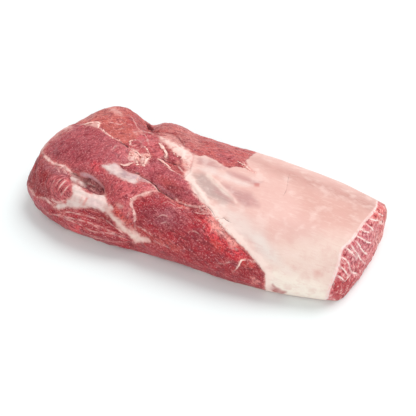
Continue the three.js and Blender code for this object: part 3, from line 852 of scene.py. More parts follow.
# ------------------------------ skin
@dataclass
class SkinMap:
    """The skin's points, and what is known about each: its place, its facing and what the camera sees there.

    Attributes:
        mesh: The refined mesh.
        camera: The reference camera.
        reach: How far from a line the skin is measured against it, in millimetres.
        edge_on: Facings, as cosines, between which a point goes from unseen to seen.
        points: Places in millimetres.
        normals: Unit normals.
        pixels: Where each point is in the picture.
        seen: From 0, turned away from the camera, to 1, facing it.
        tree: The faces, sorted for casting rays.
        traced: The lines that are measured already.
    """

    mesh: bpy.types.Mesh
    camera: PhotoCamera
    reach: float = 14.0
    edge_on: tuple[float, float] = (-0.3, 0.0)
    points: Points = field(init=False)
    normals: Points = field(init=False)
    pixels: Points = field(init=False)
    seen: Weights = field(init=False)
    tree: BVHTree = field(init=False)
    traced: dict[Trace, tuple[Weights, Weights, Weights]] = field(init=False, default_factory=dict)

    def __post_init__(self) -> None:
        """Reads the mesh."""
        count = len(self.mesh.vertices)
        self.points, self.normals = np.zeros(count * 3), np.zeros(count * 3)
        self.mesh.vertices.foreach_get("co", self.points)
        self.mesh.vertices.foreach_get("normal", self.normals)
        self.points = self.points.reshape(-1, 3) / MM
        self.normals = self.normals.reshape(-1, 3)
        self.pixels = self.camera.see(self.points)
        sight = self.points - self.camera.place()
        sight /= np.linalg.norm(sight, axis=1)[:, None]
        self.seen = ease(*self.edge_on, -np.sum(sight * self.normals, axis=1))
        faces = [tuple(face.vertices) for face in self.mesh.polygons]
        self.tree = BVHTree.FromPolygons([Vector(p) for p in self.points], faces)

    def land(self, path: Trace) -> Points:
        """Casts a line of the picture onto the skin.

        Args:
            path: The line.

        Returns:
            The points on the skin in millimetres, without those that miss it.
        """
        start = Vector(self.camera.place())
        rays = [Vector(self.camera.ray(pixel)) for pixel in smooth(pixels(path))]
        hits = [self.tree.ray_cast(start, ray)[0] for ray in rays]
        return np.array([hit for hit in hits if hit is not None])

    def lift(self, line: Points, height: Weights) -> Points:
        """Raises points that lie on the skin off it.

        Args:
            line: The points in millimetres.
            height: How far each is raised.

        Returns:
            The raised points.
        """
        near = [self.tree.find_nearest(Vector(point)) for point in line]
        return np.array([hit[0] + hit[1] * rise for hit, rise in zip(near, height)])

    def inside(self, outline: Trace) -> Weights:
        """Measures how far each point of the skin lies inside an outline of the picture.

        Args:
            outline: The closed outline.

        Returns:
            Millimetres, below zero outside.
        """
        corners = pixels(outline)
        gap = np.full(len(self.pixels), np.inf)
        within = np.zeros(len(self.pixels), bool)
        for a, b in zip(corners, np.roll(corners, -1, axis=0)):
            edge, offset = b - a, self.pixels - a
            share = np.clip(offset @ edge / (edge @ edge), 0, 1)
            gap = np.minimum(gap, np.linalg.norm(offset - share[:, None] * edge, axis=1))
            crosses = (a[1] > self.pixels[:, 1]) != (b[1] > self.pixels[:, 1])
            rise = edge[1] if edge[1] else 1e-9
            within ^= crosses & (offset[:, 0] < edge[0] * offset[:, 1] / rise)
        return np.where(within, gap, -gap) / self.camera.px_per_mm

    def trace(self, path: Trace) -> tuple[Weights, Weights, Weights]:
        """Casts a line of the picture onto the skin and measures each point of the skin against it.

        Args:
            path: The line.

        Returns:
            The distance in millimetres, the same with a sign that tells the line's sides apart, and the
            share of the line's length at which the nearest point lies. Points out of reach are only far away.
        """
        if path in self.traced:
            return self.traced[path]
        line = self.land(path)
        low, high = line.min(axis=0) - self.reach, line.max(axis=0) + self.reach
        near = np.nonzero(np.all((self.points > low) & (self.points < high), axis=1))[0]
        points, normals = self.points[near], self.normals[near]
        best = np.full(len(near), FAR)
        side, along = np.ones(len(near)), np.zeros(len(near))
        for i, (a, b) in enumerate(zip(line, line[1:])):
            edge, offset = b - a, points - a
            t = np.clip(offset @ edge / max(edge @ edge, 1e-12), 0, 1)
            away = offset - t[:, None] * edge
            distance = np.linalg.norm(away, axis=1)
            nearer = distance < best
            best = np.where(nearer, distance, best)
            facing = np.sign(np.sum(np.cross(edge, normals) * away, axis=1))
            side = np.where(nearer, facing, side)
            along = np.where(nearer, (i + t) / (len(line) - 1), along)
        gap, signed, share = (np.full(len(self.points), far) for far in (FAR, FAR, 0.0))
        gap[near], signed[near], share[near] = best, best * side, along
        self.traced[path] = gap, signed, share
        return self.traced[path]


@dataclass(frozen=True)
class Unevenness:
    """One kind of lumps of the skin.

    Attributes:
        height: How high they stand, in millimetres.
        width: How wide they are, in millimetres.
        seed: Seed of where they lie.
    """

    height: float
    width: float
    seed: int

    def over(self, points: Points) -> Weights:
        """Returns how high they stand at each of the points."""
        return self.height * lumps(points, self.width, self.seed, 2)


@dataclass(frozen=True)
class Relief:
    """Raises and sinks the skin along its normals: bellies, films, seams, cuts and the run of the fibres.

    Attributes:
        flat_fade: Height in millimetres over which the relief fades out towards the flat underside.
        silverskin_step: How far the silverskin and its fat stand above the flesh, in millimetres.
        swell: The broad unevenness of the flesh.
        fibres: The bundles of fibres.
        bundle: How much longer, wider and deeper they are than the grain's own millimetres.
        dimples: The small dents of the flesh.
        stretched: The slight unevenness of the taut silverskin.
        crumple: How the films and the fat are crumpled, as a share of their height.
        hidden_groove: Depth in millimetres of the seams on the sides that the camera can't see.
        hidden_width: Half the width of those seams, in millimetres.
    """

    flat_fade: float = 6.0
    silverskin_step: float = 0.9
    swell: Unevenness = Unevenness(0.9, 17, 11)
    fibres: Unevenness = Unevenness(0.6, 2.2, 12)
    bundle: tuple[float, float, float] = (7, 1.6, 1.6)
    dimples: Unevenness = Unevenness(0.35, 5, 15)
    stretched: Unevenness = Unevenness(0.35, 26, 13)
    crumple: Unevenness = Unevenness(0.8, 3.2, 14)
    hidden_groove: float = 1.0
    hidden_width: float = 2.2

    def along(self, skin: SkinMap, path: Trace, half: float, end: float) -> tuple[Weights, Weights]:
        """Measures a rounded ridge along a line of the picture.

        Args:
            skin: The skin.
            path: The line.
            half: Half the ridge's width in millimetres.
            end: Share of its length over which each end fades out.

        Returns:
            The ridge's height from 0 to 1, and how far it has not faded out.
        """
        gap, _, share = skin.trace(path)
        return np.exp(-((gap / half) ** 2)), ease(0, end, share) * ease(1, 1 - end, share)

    def of(self, skin: SkinMap, grain: Points, silver: Weights) -> Weights:
        """Works out the relief.

        Args:
            skin: The skin.
            grain: Places in millimetres along and across the fibres.
            silver: How far each point lies inside the silverskin, in millimetres.

        Returns:
            Millimetres along the normals.
        """
        points = skin.points
        flesh = ease(1.0, -1.0, silver)
        uneven = self.swell.over(points) + self.fibres.over(grain / self.bundle) + self.dimples.over(points)
        raised = flesh * uneven + (1 - flesh) * (self.silverskin_step + self.stretched.over(points))
        groove = np.exp(-((hidden_seams(points) / self.hidden_width) ** 2))
        raised -= self.hidden_groove * flesh * (1 - skin.seen) * groove
        crumpled = 1 + self.crumple.over(points)
        for patch in FILMS:
            if patch.lift:
                raised += patch.lift * ease(-0.6, 2.6, skin.inside(patch.outline)) * skin.seen * crumpled
        for seam in SEAMS:
            ridge, ends = self.along(skin, seam.path, 0.6 * seam.width, 0.12)
            raised += seam.lift * ridge * ends
        for cut in CUTS:
            ridge, ends = self.along(skin, cut.path, 0.75 * cut.width, 0.18)
            raised -= cut.depth * ridge * (0.25 + 0.75 * ends)
        return raised * ease(0, self.flat_fade, points[:, 2])


@dataclass
class TissueMap:
    """Paints the skin's tissues, with some painted shade and sheen, into the mesh's attributes for the
    finishes to read.

    Attributes:
        silver_from: Where the silverskin starts on the sides that the camera can't see, along the length.
        usual_run: Length in millimetres of a bundle of fibres in the stretched grain.
        back_run: Real length of one on the sides that the camera can't see.
        curve_radius: Radius in millimetres at which curved fibres have that length.
        blend: Half the width in millimetres over which one muscle's colour turns into the next.
        far_widths: Half widths beyond which a thin line is out of sight.
        colour: The tissues' colour.
        membrane: How far silverskin or fascia covers each point.
        fat: How far fat covers it.
        streak: How plainly its fibres show.
    """

    silver_from: float = 52.0
    usual_run: float = 5.0
    back_run: float = 6.0
    curve_radius: float = 12.0
    blend: float = 1.2
    far_widths: float = 9.0
    colour: Points = field(init=False)
    membrane: Weights = field(init=False)
    fat: Weights = field(init=False)
    streak: Weights = field(init=False)

    def lay(self, weight: Weights, hue: Hue) -> None:
        """Covers the skin with a colour as far as the weight says."""
        self.colour += weight[:, None] * (np.array(linear(hue.value)[:3]) - self.colour)

    def stain(self, skin: SkinMap, tints: tuple[Patch, ...], wander: Weights, where: Weights) -> None:
        """Lays tints over a part of the skin: colours of the tissue, and some painted shade and sheen.

        Args:
            skin: The skin.
            tints: The tints.
            wander: How their edges wander, which each multiplies by how ragged it is.
            where: How far each point takes them, from 0 to 1.
        """
        for tint in tints:
            edge = skin.inside(tint.outline) + tint.ragged * wander
            self.lay(ease(-tint.feather, tint.feather, edge) * tint.strength * where, tint.hue)

    def silverskin(self, skin: SkinMap) -> Weights:
        """Measures how far each point lies inside the silverskin.

        Args:
            skin: The skin.

        Returns:
            Millimetres, below zero on the bare flesh.
        """
        points = skin.points
        unseen = points[:, 0] - self.silver_from + 9 * lumps(points, 34, 21, 2) + 4 * lumps(points, 11, 50, 2)
        ragged = 0.8 * lumps(points, 3.2, 22, 2)
        return skin.seen * skin.inside(SILVERSKIN) + (1 - skin.seen) * unseen + ragged

    def turn(self, skin: SkinMap, degrees: float) -> Points:
        """Turns each point's place into millimetres along and across a direction of the picture.

        Args:
            skin: The skin.
            degrees: The direction, counter-clockwise from the right.

        Returns:
            The turned places, one row each: along, across and away from the camera.
        """
        right, up, away = skin.camera.axes()
        angle = math.radians(degrees)
        along = right * math.cos(angle) + up * math.sin(angle)
        across = up * math.cos(angle) - right * math.sin(angle)
        return skin.points @ np.array([along, across, away]).T

    def grain(self, skin: SkinMap) -> Points:
        """Turns each point's place into millimetres along and across the fibres of its muscle.

        The first number is stretched so that every muscle's bundles run alike.

        Args:
            skin: The skin.

        Returns:
            The turned places, one row each: along, across and into the fibres.
        """
        turned = skin.points * (self.usual_run / self.back_run, 1, 1)
        for muscle in MUSCLES:
            here = (skin.inside(muscle.outline) > 0) & (skin.seen > 0.5)
            lie = self.turn(skin, muscle.fibre_deg)
            if muscle.centre:
                across, down = ((muscle.centre - skin.pixels) / skin.camera.px_per_mm).T
                round_it = self.curve_radius * np.arctan2(down, across)
                lie = np.stack([round_it, np.hypot(across, down), lie[:, 2]], axis=1)
            turned[here] = lie[here] * (self.usual_run / muscle.run, 1, 1)
        return turned

    def lay_flesh(self, skin: SkinMap, grain: Points) -> None:
        """Lays the muscles with their tints and shades, among them painted shade and sheen, and the pink
        flesh beside the seams.

        Args:
            skin: The skin.
            grain: Places in millimetres along and across the fibres.
        """
        points, seen = skin.points, skin.seen
        self.lay(0.8 * ease(-0.2, 0.5, lumps(points, 30, 31, 2)), Hue.MAUVE)
        self.lay(0.6 * ease(0.0, 0.6, lumps(points, 22, 32, 2)), Hue.BACK_ROSE)
        for muscle in MUSCLES:
            weight = ease(-self.blend, self.blend, skin.inside(muscle.outline)) * seen
            self.lay(weight, muscle.hue)
            self.streak += weight * (muscle.streak - self.streak)
        self.stain(skin, TINTS, lumps(points, 6, 33, 2), seen)
        shade = 0.1 * lumps(grain / (2.4, 1, 1), 4, 39, 2) + 0.1 * lumps(points, 12, 40, 2)
        self.colour *= 1 + shade[:, None] * (1.0, 1.35, 1.3)
        for seam in SEAMS:
            gap, _, _ = skin.trace(seam.path)
            self.lay(0.4 * seam.strength * np.exp(-((gap / (1.2 * seam.width)) ** 2)), Hue.HALO)

    def lay_silverskin(self, skin: SkinMap, silver: Weights) -> None:
        """Lays the silverskin with its tints, and films of fascia on the sides that the camera can't see.

        Args:
            skin: The skin.
            silver: How far each point lies inside the silverskin, in millimetres.
        """
        points, seen = skin.points, skin.seen
        self.lay(0.45 * ease(-4, 0.5, silver), Hue.HALO)
        fascia = 0.75 * ease(0.25, 0.6, lumps(points * (0.5, 1, 1), 17, 48, 2)) * (1 - seen)
        self.lay(fascia, Hue.FASCIA)
        cover = ease(-0.7, 0.9, silver)
        self.lay(cover, Hue.SILVERSKIN)
        self.membrane = np.maximum(fascia, cover)
        self.stain(skin, MEMBRANE_TINTS, 2 * lumps(points, 12, 34, 2), seen * cover)

    def lay_border(self, skin: SkinMap, silver: Weights) -> None:
        """Lays the fat along the border of the silverskin, with torn pink flesh beside it.

        Args:
            skin: The skin.
            silver: How far each point lies inside the silverskin, in millimetres.
        """
        points, seen = skin.points, skin.seen
        gap, _, _ = skin.trace(BORDER_FAT)
        threads = lumps(self.turn(skin, -45) / (5, 1, 1), 1.8, 37, 2)
        wide = np.where(silver > 0, 0.62, 1.0)
        border = ease(4.4, 0.8, wide * gap + 1.3 * lumps(points, 5, 35, 2) + 0.8 * threads) * seen
        self.lay(0.6 * ease(6.5, 2.0, gap + 1.5 * threads) * seen * ease(1, -1, silver), Hue.TORN_PINK)
        self.lay(0.85 * border, Hue.PALE_FAT)
        frayed = silver + 1.6 * lumps(points, 4, 49, 2)
        hidden = ease(5.0, 1.5, np.abs(frayed)) * (1 - seen) * (points[:, 0] < 110)
        self.lay(0.7 * hidden, Hue.PALE_FAT)
        self.fat = np.maximum(border, hidden)

    def lay_film(self, skin: SkinMap, film: Patch, wander: Weights, holes: Weights) -> None:
        """Lays one film or lump of fat, with pinker flesh round it and along its edge.

        Args:
            skin: The skin.
            film: The film.
            wander: How its edge wanders.
            holes: Where the flesh shows through, above zero.
        """
        threads = lumps(self.turn(skin, film.run_deg) / (4, 1, 1), 1.7, 43, 2)
        edge = skin.inside(film.outline) + film.ragged * (0.8 * wander + threads)
        self.lay(ease(-film.feather - 3.4, film.feather, edge) * skin.seen * film.halo, Hue.HALO)
        sheer = film.strength * (1 - film.sheer * ease(-0.2, 0.8, holes + 0.6 * threads))
        weight = ease(-film.feather, film.feather, edge) * skin.seen * sheer
        self.lay(weight, film.hue)
        if film.halo:
            self.lay(0.45 * ease(2.6, 0.0, edge) * weight, Hue.HALO)
        if film.cover is not Cover.TINT:
            part = self.fat if film.cover is Cover.FAT else self.membrane
            part += weight * (1 - part)

    def lay_sawn(self, skin: SkinMap, sawn: Weights) -> None:
        """Lays the sawn face with its tints and the white rim of its cut silverskin.

        Args:
            skin: The skin.
            sawn: 1 on the sawn face, 0 elsewhere.
        """
        points, seen = skin.points, skin.seen
        self.lay(sawn, Hue.SAWN)
        self.stain(skin, SAWN_TINTS, lumps(points, 3, 44, 2), seen * sawn)
        gap, _, share = skin.trace(SAWN_EDGE)
        rim = ease(0.9 + 1.1 * share, 0.4 + 0.5 * share, gap + 0.35 * lumps(points, 2.4, 45, 2)) * seen
        self.lay(0.9 * rim, Hue.WHITE_RIM)
        self.fat *= 1 - sawn
        self.membrane += sawn * (rim - self.membrane)

    def paint(self, skin: SkinMap, grain: Points, silver: Weights, sawn: Weights) -> None:
        """Lays the muscles, tints, silverskin, films and fat over each other.

        Args:
            skin: The skin.
            grain: Places in millimetres along and across the fibres.
            silver: How far each point lies inside the silverskin, in millimetres.
            sawn: 1 on the sawn face, 0 elsewhere.
        """
        count = len(skin.points)
        self.colour = np.tile(np.array(linear(Hue.RED.value)[:3]), (count, 1))
        self.streak = np.full(count, 0.5)
        self.lay_flesh(skin, grain)
        self.lay_silverskin(skin, silver)
        self.lay_border(skin, silver)
        wander, holes = lumps(skin.points, 4, 36, 2), lumps(skin.points, 5, 38, 2)
        for film in FILMS:
            self.lay_film(skin, film, wander, holes)
        self.lay_sawn(skin, sawn)

    def lines(self, skin: SkinMap, marks: tuple[Seam | Cut, ...], strength: str) -> Points:
        """Measures each point against the nearest of many thin lines, so that a shader can draw them sharply.

        Args:
            skin: The skin.
            marks: The seams or the cuts.
            strength: Name of the field that holds how plainly a line shows.

        Returns:
            One row for each point: the signed and the plain distance in half widths, and the line's strength.
        """
        nearest = np.tile((self.far_widths, self.far_widths, 0.0), (len(skin.points), 1))
        if marks is SEAMS:
            gap = hidden_seams(skin.points) + 0.8 * lumps(skin.points, 3, 51, 2)
            plain = 0.8 * (1 - skin.seen) * (skin.points[:, 0] < 150)
            nearest = np.stack([gap, np.abs(gap), plain], axis=1)
        wobble = 1 + 0.5 * lumps(skin.points, 3, 41, 2)
        patchy = 0.3 + 0.7 * ease(-0.35, 0.3, lumps(skin.points, 3.5, 42, 2))
        for mark in marks:
            if not getattr(mark, strength):
                continue
            gap, signed, share = skin.trace(mark.path)
            half = 0.5 * mark.width * wobble
            ends = (0.3 + 0.7 * ease(0, 0.15, share) * ease(1, 0.85, share)) * patchy
            shown = np.minimum(getattr(mark, strength) * ends, 1)
            row = np.stack([signed / half, gap / half, shown], axis=1)
            nearer = row[:, 1] < nearest[:, 1]
            nearest[nearer] = row[nearer]
        return np.clip(nearest, -self.far_widths, self.far_widths)


# ------------------------------ finishes
def new_material(name: str) -> tuple[bpy.types.Material, Tree]:
    """Makes a material without nodes.

    Args:
        name: Its name.

    Returns:
        The material and its empty node tree.
    """
    material = bpy.data.materials.new(name)
    material.use_nodes = True
    material.node_tree.nodes.clear()
    return material, material.node_tree


def add_node(tree: Tree, kind: str, inputs: dict | None = None, **settings: object) -> bpy.types.Node:
    """Adds a shader node with its settings and links.

    Args:
        tree: The node tree.
        kind: Blender's name for the node, after "ShaderNode".
        inputs: For each input, by name or number, the socket that it is linked to or the value that it has.
        settings: The node's own properties.

    Returns:
        The node.
    """
    node = tree.nodes.new("ShaderNode" + kind)
    for name, value in settings.items():
        setattr(node, name, value)
    for name, value in (inputs or {}).items():
        if isinstance(value, bpy.types.NodeSocket):
            tree.links.new(value, node.inputs[name])
        else:
            node.inputs[name].default_value = value
    return node


@dataclass(frozen=True)
class Layer:
    """A pattern that is drawn over a colour.

    Attributes:
        pattern: Gives the pattern's value.
        start: Value at which the layer begins to show.
        full: Value from which it shows most.
        most: How far it covers what lies under it there.
        where: Gives where the layer lies, or the same share everywhere.
        hue: Its colour.
    """

    pattern: Socket
    start: float
    full: float
    most: float
    where: Socket | float
    hue: str


def draw_layers(tree: Tree, colour: Socket | tuple, layers: tuple[Layer, ...]) -> Socket:
    """Draws patterns over a colour, one over the other.

    Args:
        tree: The node tree.
        colour: The colour under them.
        layers: The patterns.

    Returns:
        The colour with the patterns on it.
    """
    for layer in layers:
        rise = {"From Min": layer.start, "From Max": layer.full, "To Max": layer.most}
        rise["Value"] = layer.pattern
        share = add_node(tree, "MapRange", rise, interpolation_type="SMOOTHSTEP").outputs[0]
        share = add_node(tree, "Math", {0: share, 1: layer.where}, operation="MULTIPLY").outputs[0]
        mixed = {0: share, 6: colour, 7: linear(layer.hue)}
        colour = add_node(tree, "Mix", mixed, data_type="RGBA").outputs[2]
    return colour


def draw_lines(tree: Tree, colour: Socket, pale: str, dark: str) -> Socket:
    """Draws the thin seams and cuts over a colour, sharper than the mesh's own points.

    Args:
        tree: The node tree.
        colour: The colour so far.
        pale: The seams' colour, which on some ridges is a painted highlight.
        dark: The cuts' colour: painted shade in the cuts and gaps, the flesh's own dark in its streaks.

    Returns:
        The colour with the lines on it.
    """
    for name, hue, rim in (("pale_line", pale, 1.7), ("dark_line", dark, 1.25)):
        row = add_node(tree, "Attribute", attribute_name=name).outputs["Vector"]
        parts = add_node(tree, "SeparateXYZ", {0: row}).outputs
        near = {"Value": parts["Y"], "From Min": 3.0, "From Max": 2.0}
        near = add_node(tree, "MapRange", near, interpolation_type="SMOOTHSTEP").outputs[0]
        shown = add_node(tree, "Math", {0: near, 1: parts["Z"]}, operation="MULTIPLY").outputs[0]
        gap = add_node(tree, "Math", {0: parts["X"]}, operation="ABSOLUTE").outputs[0]
        colour = draw_layers(tree, colour, (Layer(gap, rim, 0.2, 1.0, shown, hue),))
    return colour


@dataclass(frozen=True)
class RawBeef:
    """Raw beef, trimmed with a knife: wet striated muscle, satin silverskin and waxy fat.

    The fibres show as fine streaks along the muscle, the wet surface gives broad soft highlights, and the
    silverskin hides the grain under a smooth veil. Small glints are painted into the colour as highlights.

    Attributes:
        name: The material's name.
        fibre_mm: Width of a fibre bundle.
        fibre_run_mm: Length over which one stays the same.
        strain_mm: Width of the streaks of the taut silverskin.
        mottle_mm: Width of the mottling.
        fleck_mm: Width of a painted glint of the wet surface or a fleck of marbling.
        membrane_mm: Width of the clouds in the silverskin.
        relief_mm: Height of the finest unevenness.
        ior: Index of refraction of wet flesh, a little over water's.
        wet: How much of a film of juice lies on it.
    """

    name: str = "raw_beef_knife_trimmed"
    # Real bundles are about 0.5 mm wide. A pixel is about 1 mm, so they are drawn three times as coarse.
    fibre_mm: float = 1.5
    fibre_run_mm: float = 5.0
    strain_mm: float = 2.5
    mottle_mm: float = 6.0
    # Real glints are about 0.5 mm wide too; their painted highlights are drawn as coarse as the bundles.
    fleck_mm: float = 1.6
    membrane_mm: float = 14.0
    relief_mm: float = 0.7
    ior: float = 1.38
    wet: float = 0.08
    pale_fibre: str = "#db7674"
    dark_fibre: str = "#7d1e2a"
    dark_mottle: str = "#8c3040"
    # Colour of the painted glints, highlights of the wet surface.
    glint: str = "#f0a8aa"
    seam_fat: str = "#f8cac2"
    gap_shade: str = "#561a20"
    veil_light: str = "#f8e0d8"
    veil_dark: str = "#dfa8a0"

    def build(self) -> bpy.types.Material:
        """Makes the material.

        Returns:
            The material, which reads the attributes that TissueMap paints.
        """
        material, tree = new_material(self.name)
        tissue = add_node(tree, "Attribute", attribute_name="tissue").outputs["Color"]
        cover = add_node(tree, "Attribute", attribute_name="cover").outputs["Vector"]
        membrane, fat, streak = add_node(tree, "SeparateXYZ", {0: cover}).outputs
        covered = add_node(tree, "Math", {0: membrane, 1: fat}, operation="MAXIMUM").outputs[0]
        bare = add_node(tree, "Math", {0: 1.0, 1: covered}, operation="SUBTRACT").outputs[0]
        shown = add_node(tree, "Math", {0: bare, 1: streak}, operation="MULTIPLY").outputs[0]

        grain = add_node(tree, "Attribute", attribute_name="grain").outputs["Vector"]
        fine = (1 / self.fibre_run_mm, 1 / self.fibre_mm, 1 / self.fibre_mm)
        wide = tuple(0.5 * scale for scale in fine)
        taut = (0.25 / self.strain_mm, 1 / self.strain_mm, 1 / self.strain_mm)
        fibre, strand, strain = (
            add_node(tree, "TexNoise", {
                "Vector": add_node(tree, "VectorMath", {0: grain, 1: scale}, operation="MULTIPLY").outputs[0],
                "Scale": 1.0,
                "Detail": detail,
                "Roughness": rough,
                "Distortion": bent,
            }).outputs[0]
            for scale, detail, rough, bent in (
                (fine, 4.0, 0.68, 1.0), (wide, 3.0, 0.5, 0.8), (taut, 3.0, 0.5, 1.2),
            )
        )
        centred = add_node(tree, "Math", {0: strand, 1: 0.5}, operation="SUBTRACT").outputs[0]
        thread = add_node(tree, "Math", {0: centred}, operation="ABSOLUTE").outputs[0]

        place = add_node(tree, "TexCoord").outputs["Object"]
        mottle, fleck, cloud = (
            add_node(tree, "TexNoise", {
                "Vector": place, "Scale": 1 / (width * MM), "Detail": detail, "Roughness": rough,
            }).outputs[0]
            for width, detail, rough in (
                (self.mottle_mm, 3.0, 0.5), (self.fleck_mm, 4.0, 0.7), (self.membrane_mm, 4.0, 0.5),
            )
        )

        colour = draw_layers(tree, tissue, (
            Layer(mottle, 0.47, 0.33, 0.5, bare, self.dark_mottle),
            Layer(mottle, 0.53, 0.7, 0.2, bare, self.pale_fibre),
            Layer(strand, 0.48, 0.36, 0.6, bare, self.dark_fibre),
            Layer(fibre, 0.48, 0.38, 0.6, shown, self.dark_fibre),
            Layer(fibre, 0.53, 0.64, 0.7, shown, self.pale_fibre),
            # Painted highlights: glints along the threads of the fibres and in small flecks.
            Layer(thread, 0.04, 0.0, 0.3, shown, self.glint),
            Layer(fleck, 0.56, 0.66, 0.65, bare, self.glint),
            Layer(fleck, 0.46, 0.36, 0.7, bare, self.dark_fibre),
            Layer(strain, 0.52, 0.7, 0.22, membrane, self.veil_light),
            Layer(strain, 0.48, 0.3, 0.2, membrane, self.veil_dark),
            Layer(cloud, 0.5, 0.7, 0.35, covered, self.veil_light),
            Layer(cloud, 0.48, 0.3, 0.3, covered, self.veil_dark),
        ))
        colour = draw_lines(tree, colour, self.seam_fat, self.gap_shade)
        rough = add_node(tree, "MapRange", {"Value": covered, "To Min": 0.42, "To Max": 0.5}).outputs[0]
        lit = add_node(tree, "Math", {0: fibre, 1: shown}, operation="MULTIPLY").outputs[0]
        bumps = add_node(tree, "Math", {0: fleck, 1: 0.35, 2: lit}, operation="MULTIPLY_ADD").outputs[0]
        uneven = {"Height": bumps, "Strength": 0.8, "Distance": self.relief_mm * MM}
        shader = add_node(tree, "BsdfPrincipled", {
            "Base Color": colour,
            "Roughness": rough,
            "Normal": add_node(tree, "Bump", uneven).outputs[0],
            "IOR": self.ior,
            "Coat Weight": self.wet,
            "Coat Roughness": 0.25,
        })
        add_node(tree, "OutputMaterial", {"Surface": shader.outputs[0]})
        return material


@dataclass(frozen=True)
class SawnBeef:
    """The sawn end: muscle cut square across its fibres, which shows their bundles and the fat between them.

    The saw leaves it flat and wet, so it looks grainy and a little duller than the knife-cut flesh.

    Attributes:
        name: The material's name.
        bundle_mm: Width of a bundle of fibres.
        fat_mm: Width of the patches of fat between them.
        relief_mm: Height of the unevenness that the saw leaves.
        roughness: Roughness of wet flesh without its outer film.
        ior: Index of refraction of wet flesh.
    """

    name: str = "raw_beef_sawn_across_grain"
    bundle_mm: float = 2.0
    fat_mm: float = 3.4
    relief_mm: float = 0.5
    roughness: float = 0.45
    ior: float = 1.38
    bundle: str = "#cc4549"
    deep: str = "#8c222d"
    between: str = "#fbd3ca"
    vein: str = "#fde0d9"

    def build(self) -> bpy.types.Material:
        """Makes the material.

        Returns:
            The material, which reads the attributes that TissueMap paints.
        """
        material, tree = new_material(self.name)
        place = add_node(tree, "TexCoord").outputs["Object"]
        tissue = add_node(tree, "Attribute", attribute_name="tissue").outputs["Color"]
        width = self.bundle_mm * MM
        wander = add_node(tree, "TexNoise", {"Vector": place, "Scale": 1 / (2 * width)}).outputs[1]
        moved = {0: wander, 1: (width, width, width), 2: place}
        shift = add_node(tree, "VectorMath", moved, operation="MULTIPLY_ADD").outputs[0]
        cells = {"Vector": shift, "Scale": 1 / width}
        cell = add_node(tree, "TexVoronoi", cells, feature="DISTANCE_TO_EDGE").outputs["Distance"]
        patches = {"Vector": place, "Scale": 1 / (self.fat_mm * MM), "Detail": 4.0, "Roughness": 0.65}
        cloud = add_node(tree, "TexNoise", patches).outputs[0]
        cover = add_node(tree, "Attribute", attribute_name="cover").outputs["Vector"]
        membrane = add_node(tree, "SeparateXYZ", {0: cover}).outputs["X"]
        bare = add_node(tree, "Math", {0: 1.0, 1: membrane}, operation="SUBTRACT").outputs[0]
        colour = draw_layers(tree, tissue, (
            Layer(cell, 0.08, 0.26, 0.7, bare, self.bundle),
            Layer(cloud, 0.53, 0.63, 0.62, bare, self.between),
            Layer(cloud, 0.46, 0.38, 0.9, bare, self.deep),
        ))
        uneven = {"Height": cloud, "Strength": 0.5, "Distance": self.relief_mm * MM}
        shader = add_node(tree, "BsdfPrincipled", {
            "Base Color": draw_lines(tree, colour, self.vein, self.deep),
            "Roughness": self.roughness,
            "Normal": add_node(tree, "Bump", uneven).outputs[0],
            "IOR": self.ior,
        })
        add_node(tree, "OutputMaterial", {"Surface": shader.outputs[0]})
        return material


@dataclass(frozen=True)
class RestingFlesh:
    """The flat underside: raw flesh pressed smooth by its own weight, mottled with films of fat.

    Attributes:
        name: The material's name.
        mottle_mm: Width of the mottling.
        drawn_out: How much longer than wide it is, as a scale of each direction.
        relief_mm: Height of the films.
        roughness: Roughness of wet flesh without its outer film.
    """

    name: str = "raw_beef_resting_face"
    mottle_mm: float = 18.0
    drawn_out: tuple[float, float, float] = (0.35, 1.0, 1.0)
    relief_mm: float = 1.0
    roughness: float = 0.45
    flesh: str = "#ad525a"
    pale: str = "#dca9a4"

    def build(self) -> bpy.types.Material:
        """Makes the material.

        Returns:
            The material.
        """
        material, tree = new_material(self.name)
        place = add_node(tree, "TexCoord").outputs["Object"]
        drawn = add_node(tree, "VectorMath", {0: place, 1: self.drawn_out}, operation="MULTIPLY").outputs[0]
        films = {"Vector": drawn, "Scale": 1 / (self.mottle_mm * MM), "Detail": 6.0}
        mottle = add_node(tree, "TexNoise", films).outputs[0]
        uneven = {"Height": mottle, "Strength": 0.4, "Distance": self.relief_mm * MM}
        film = Layer(mottle, 0.5, 0.66, 1.0, 1.0, self.pale)
        shader = add_node(tree, "BsdfPrincipled", {
            "Base Color": draw_layers(tree, linear(self.flesh), (film,)),
            "Roughness": self.roughness,
            "Normal": add_node(tree, "Bump", uneven).outputs[0],
        })
        add_node(tree, "OutputMaterial", {"Surface": shader.outputs[0]})
        return material


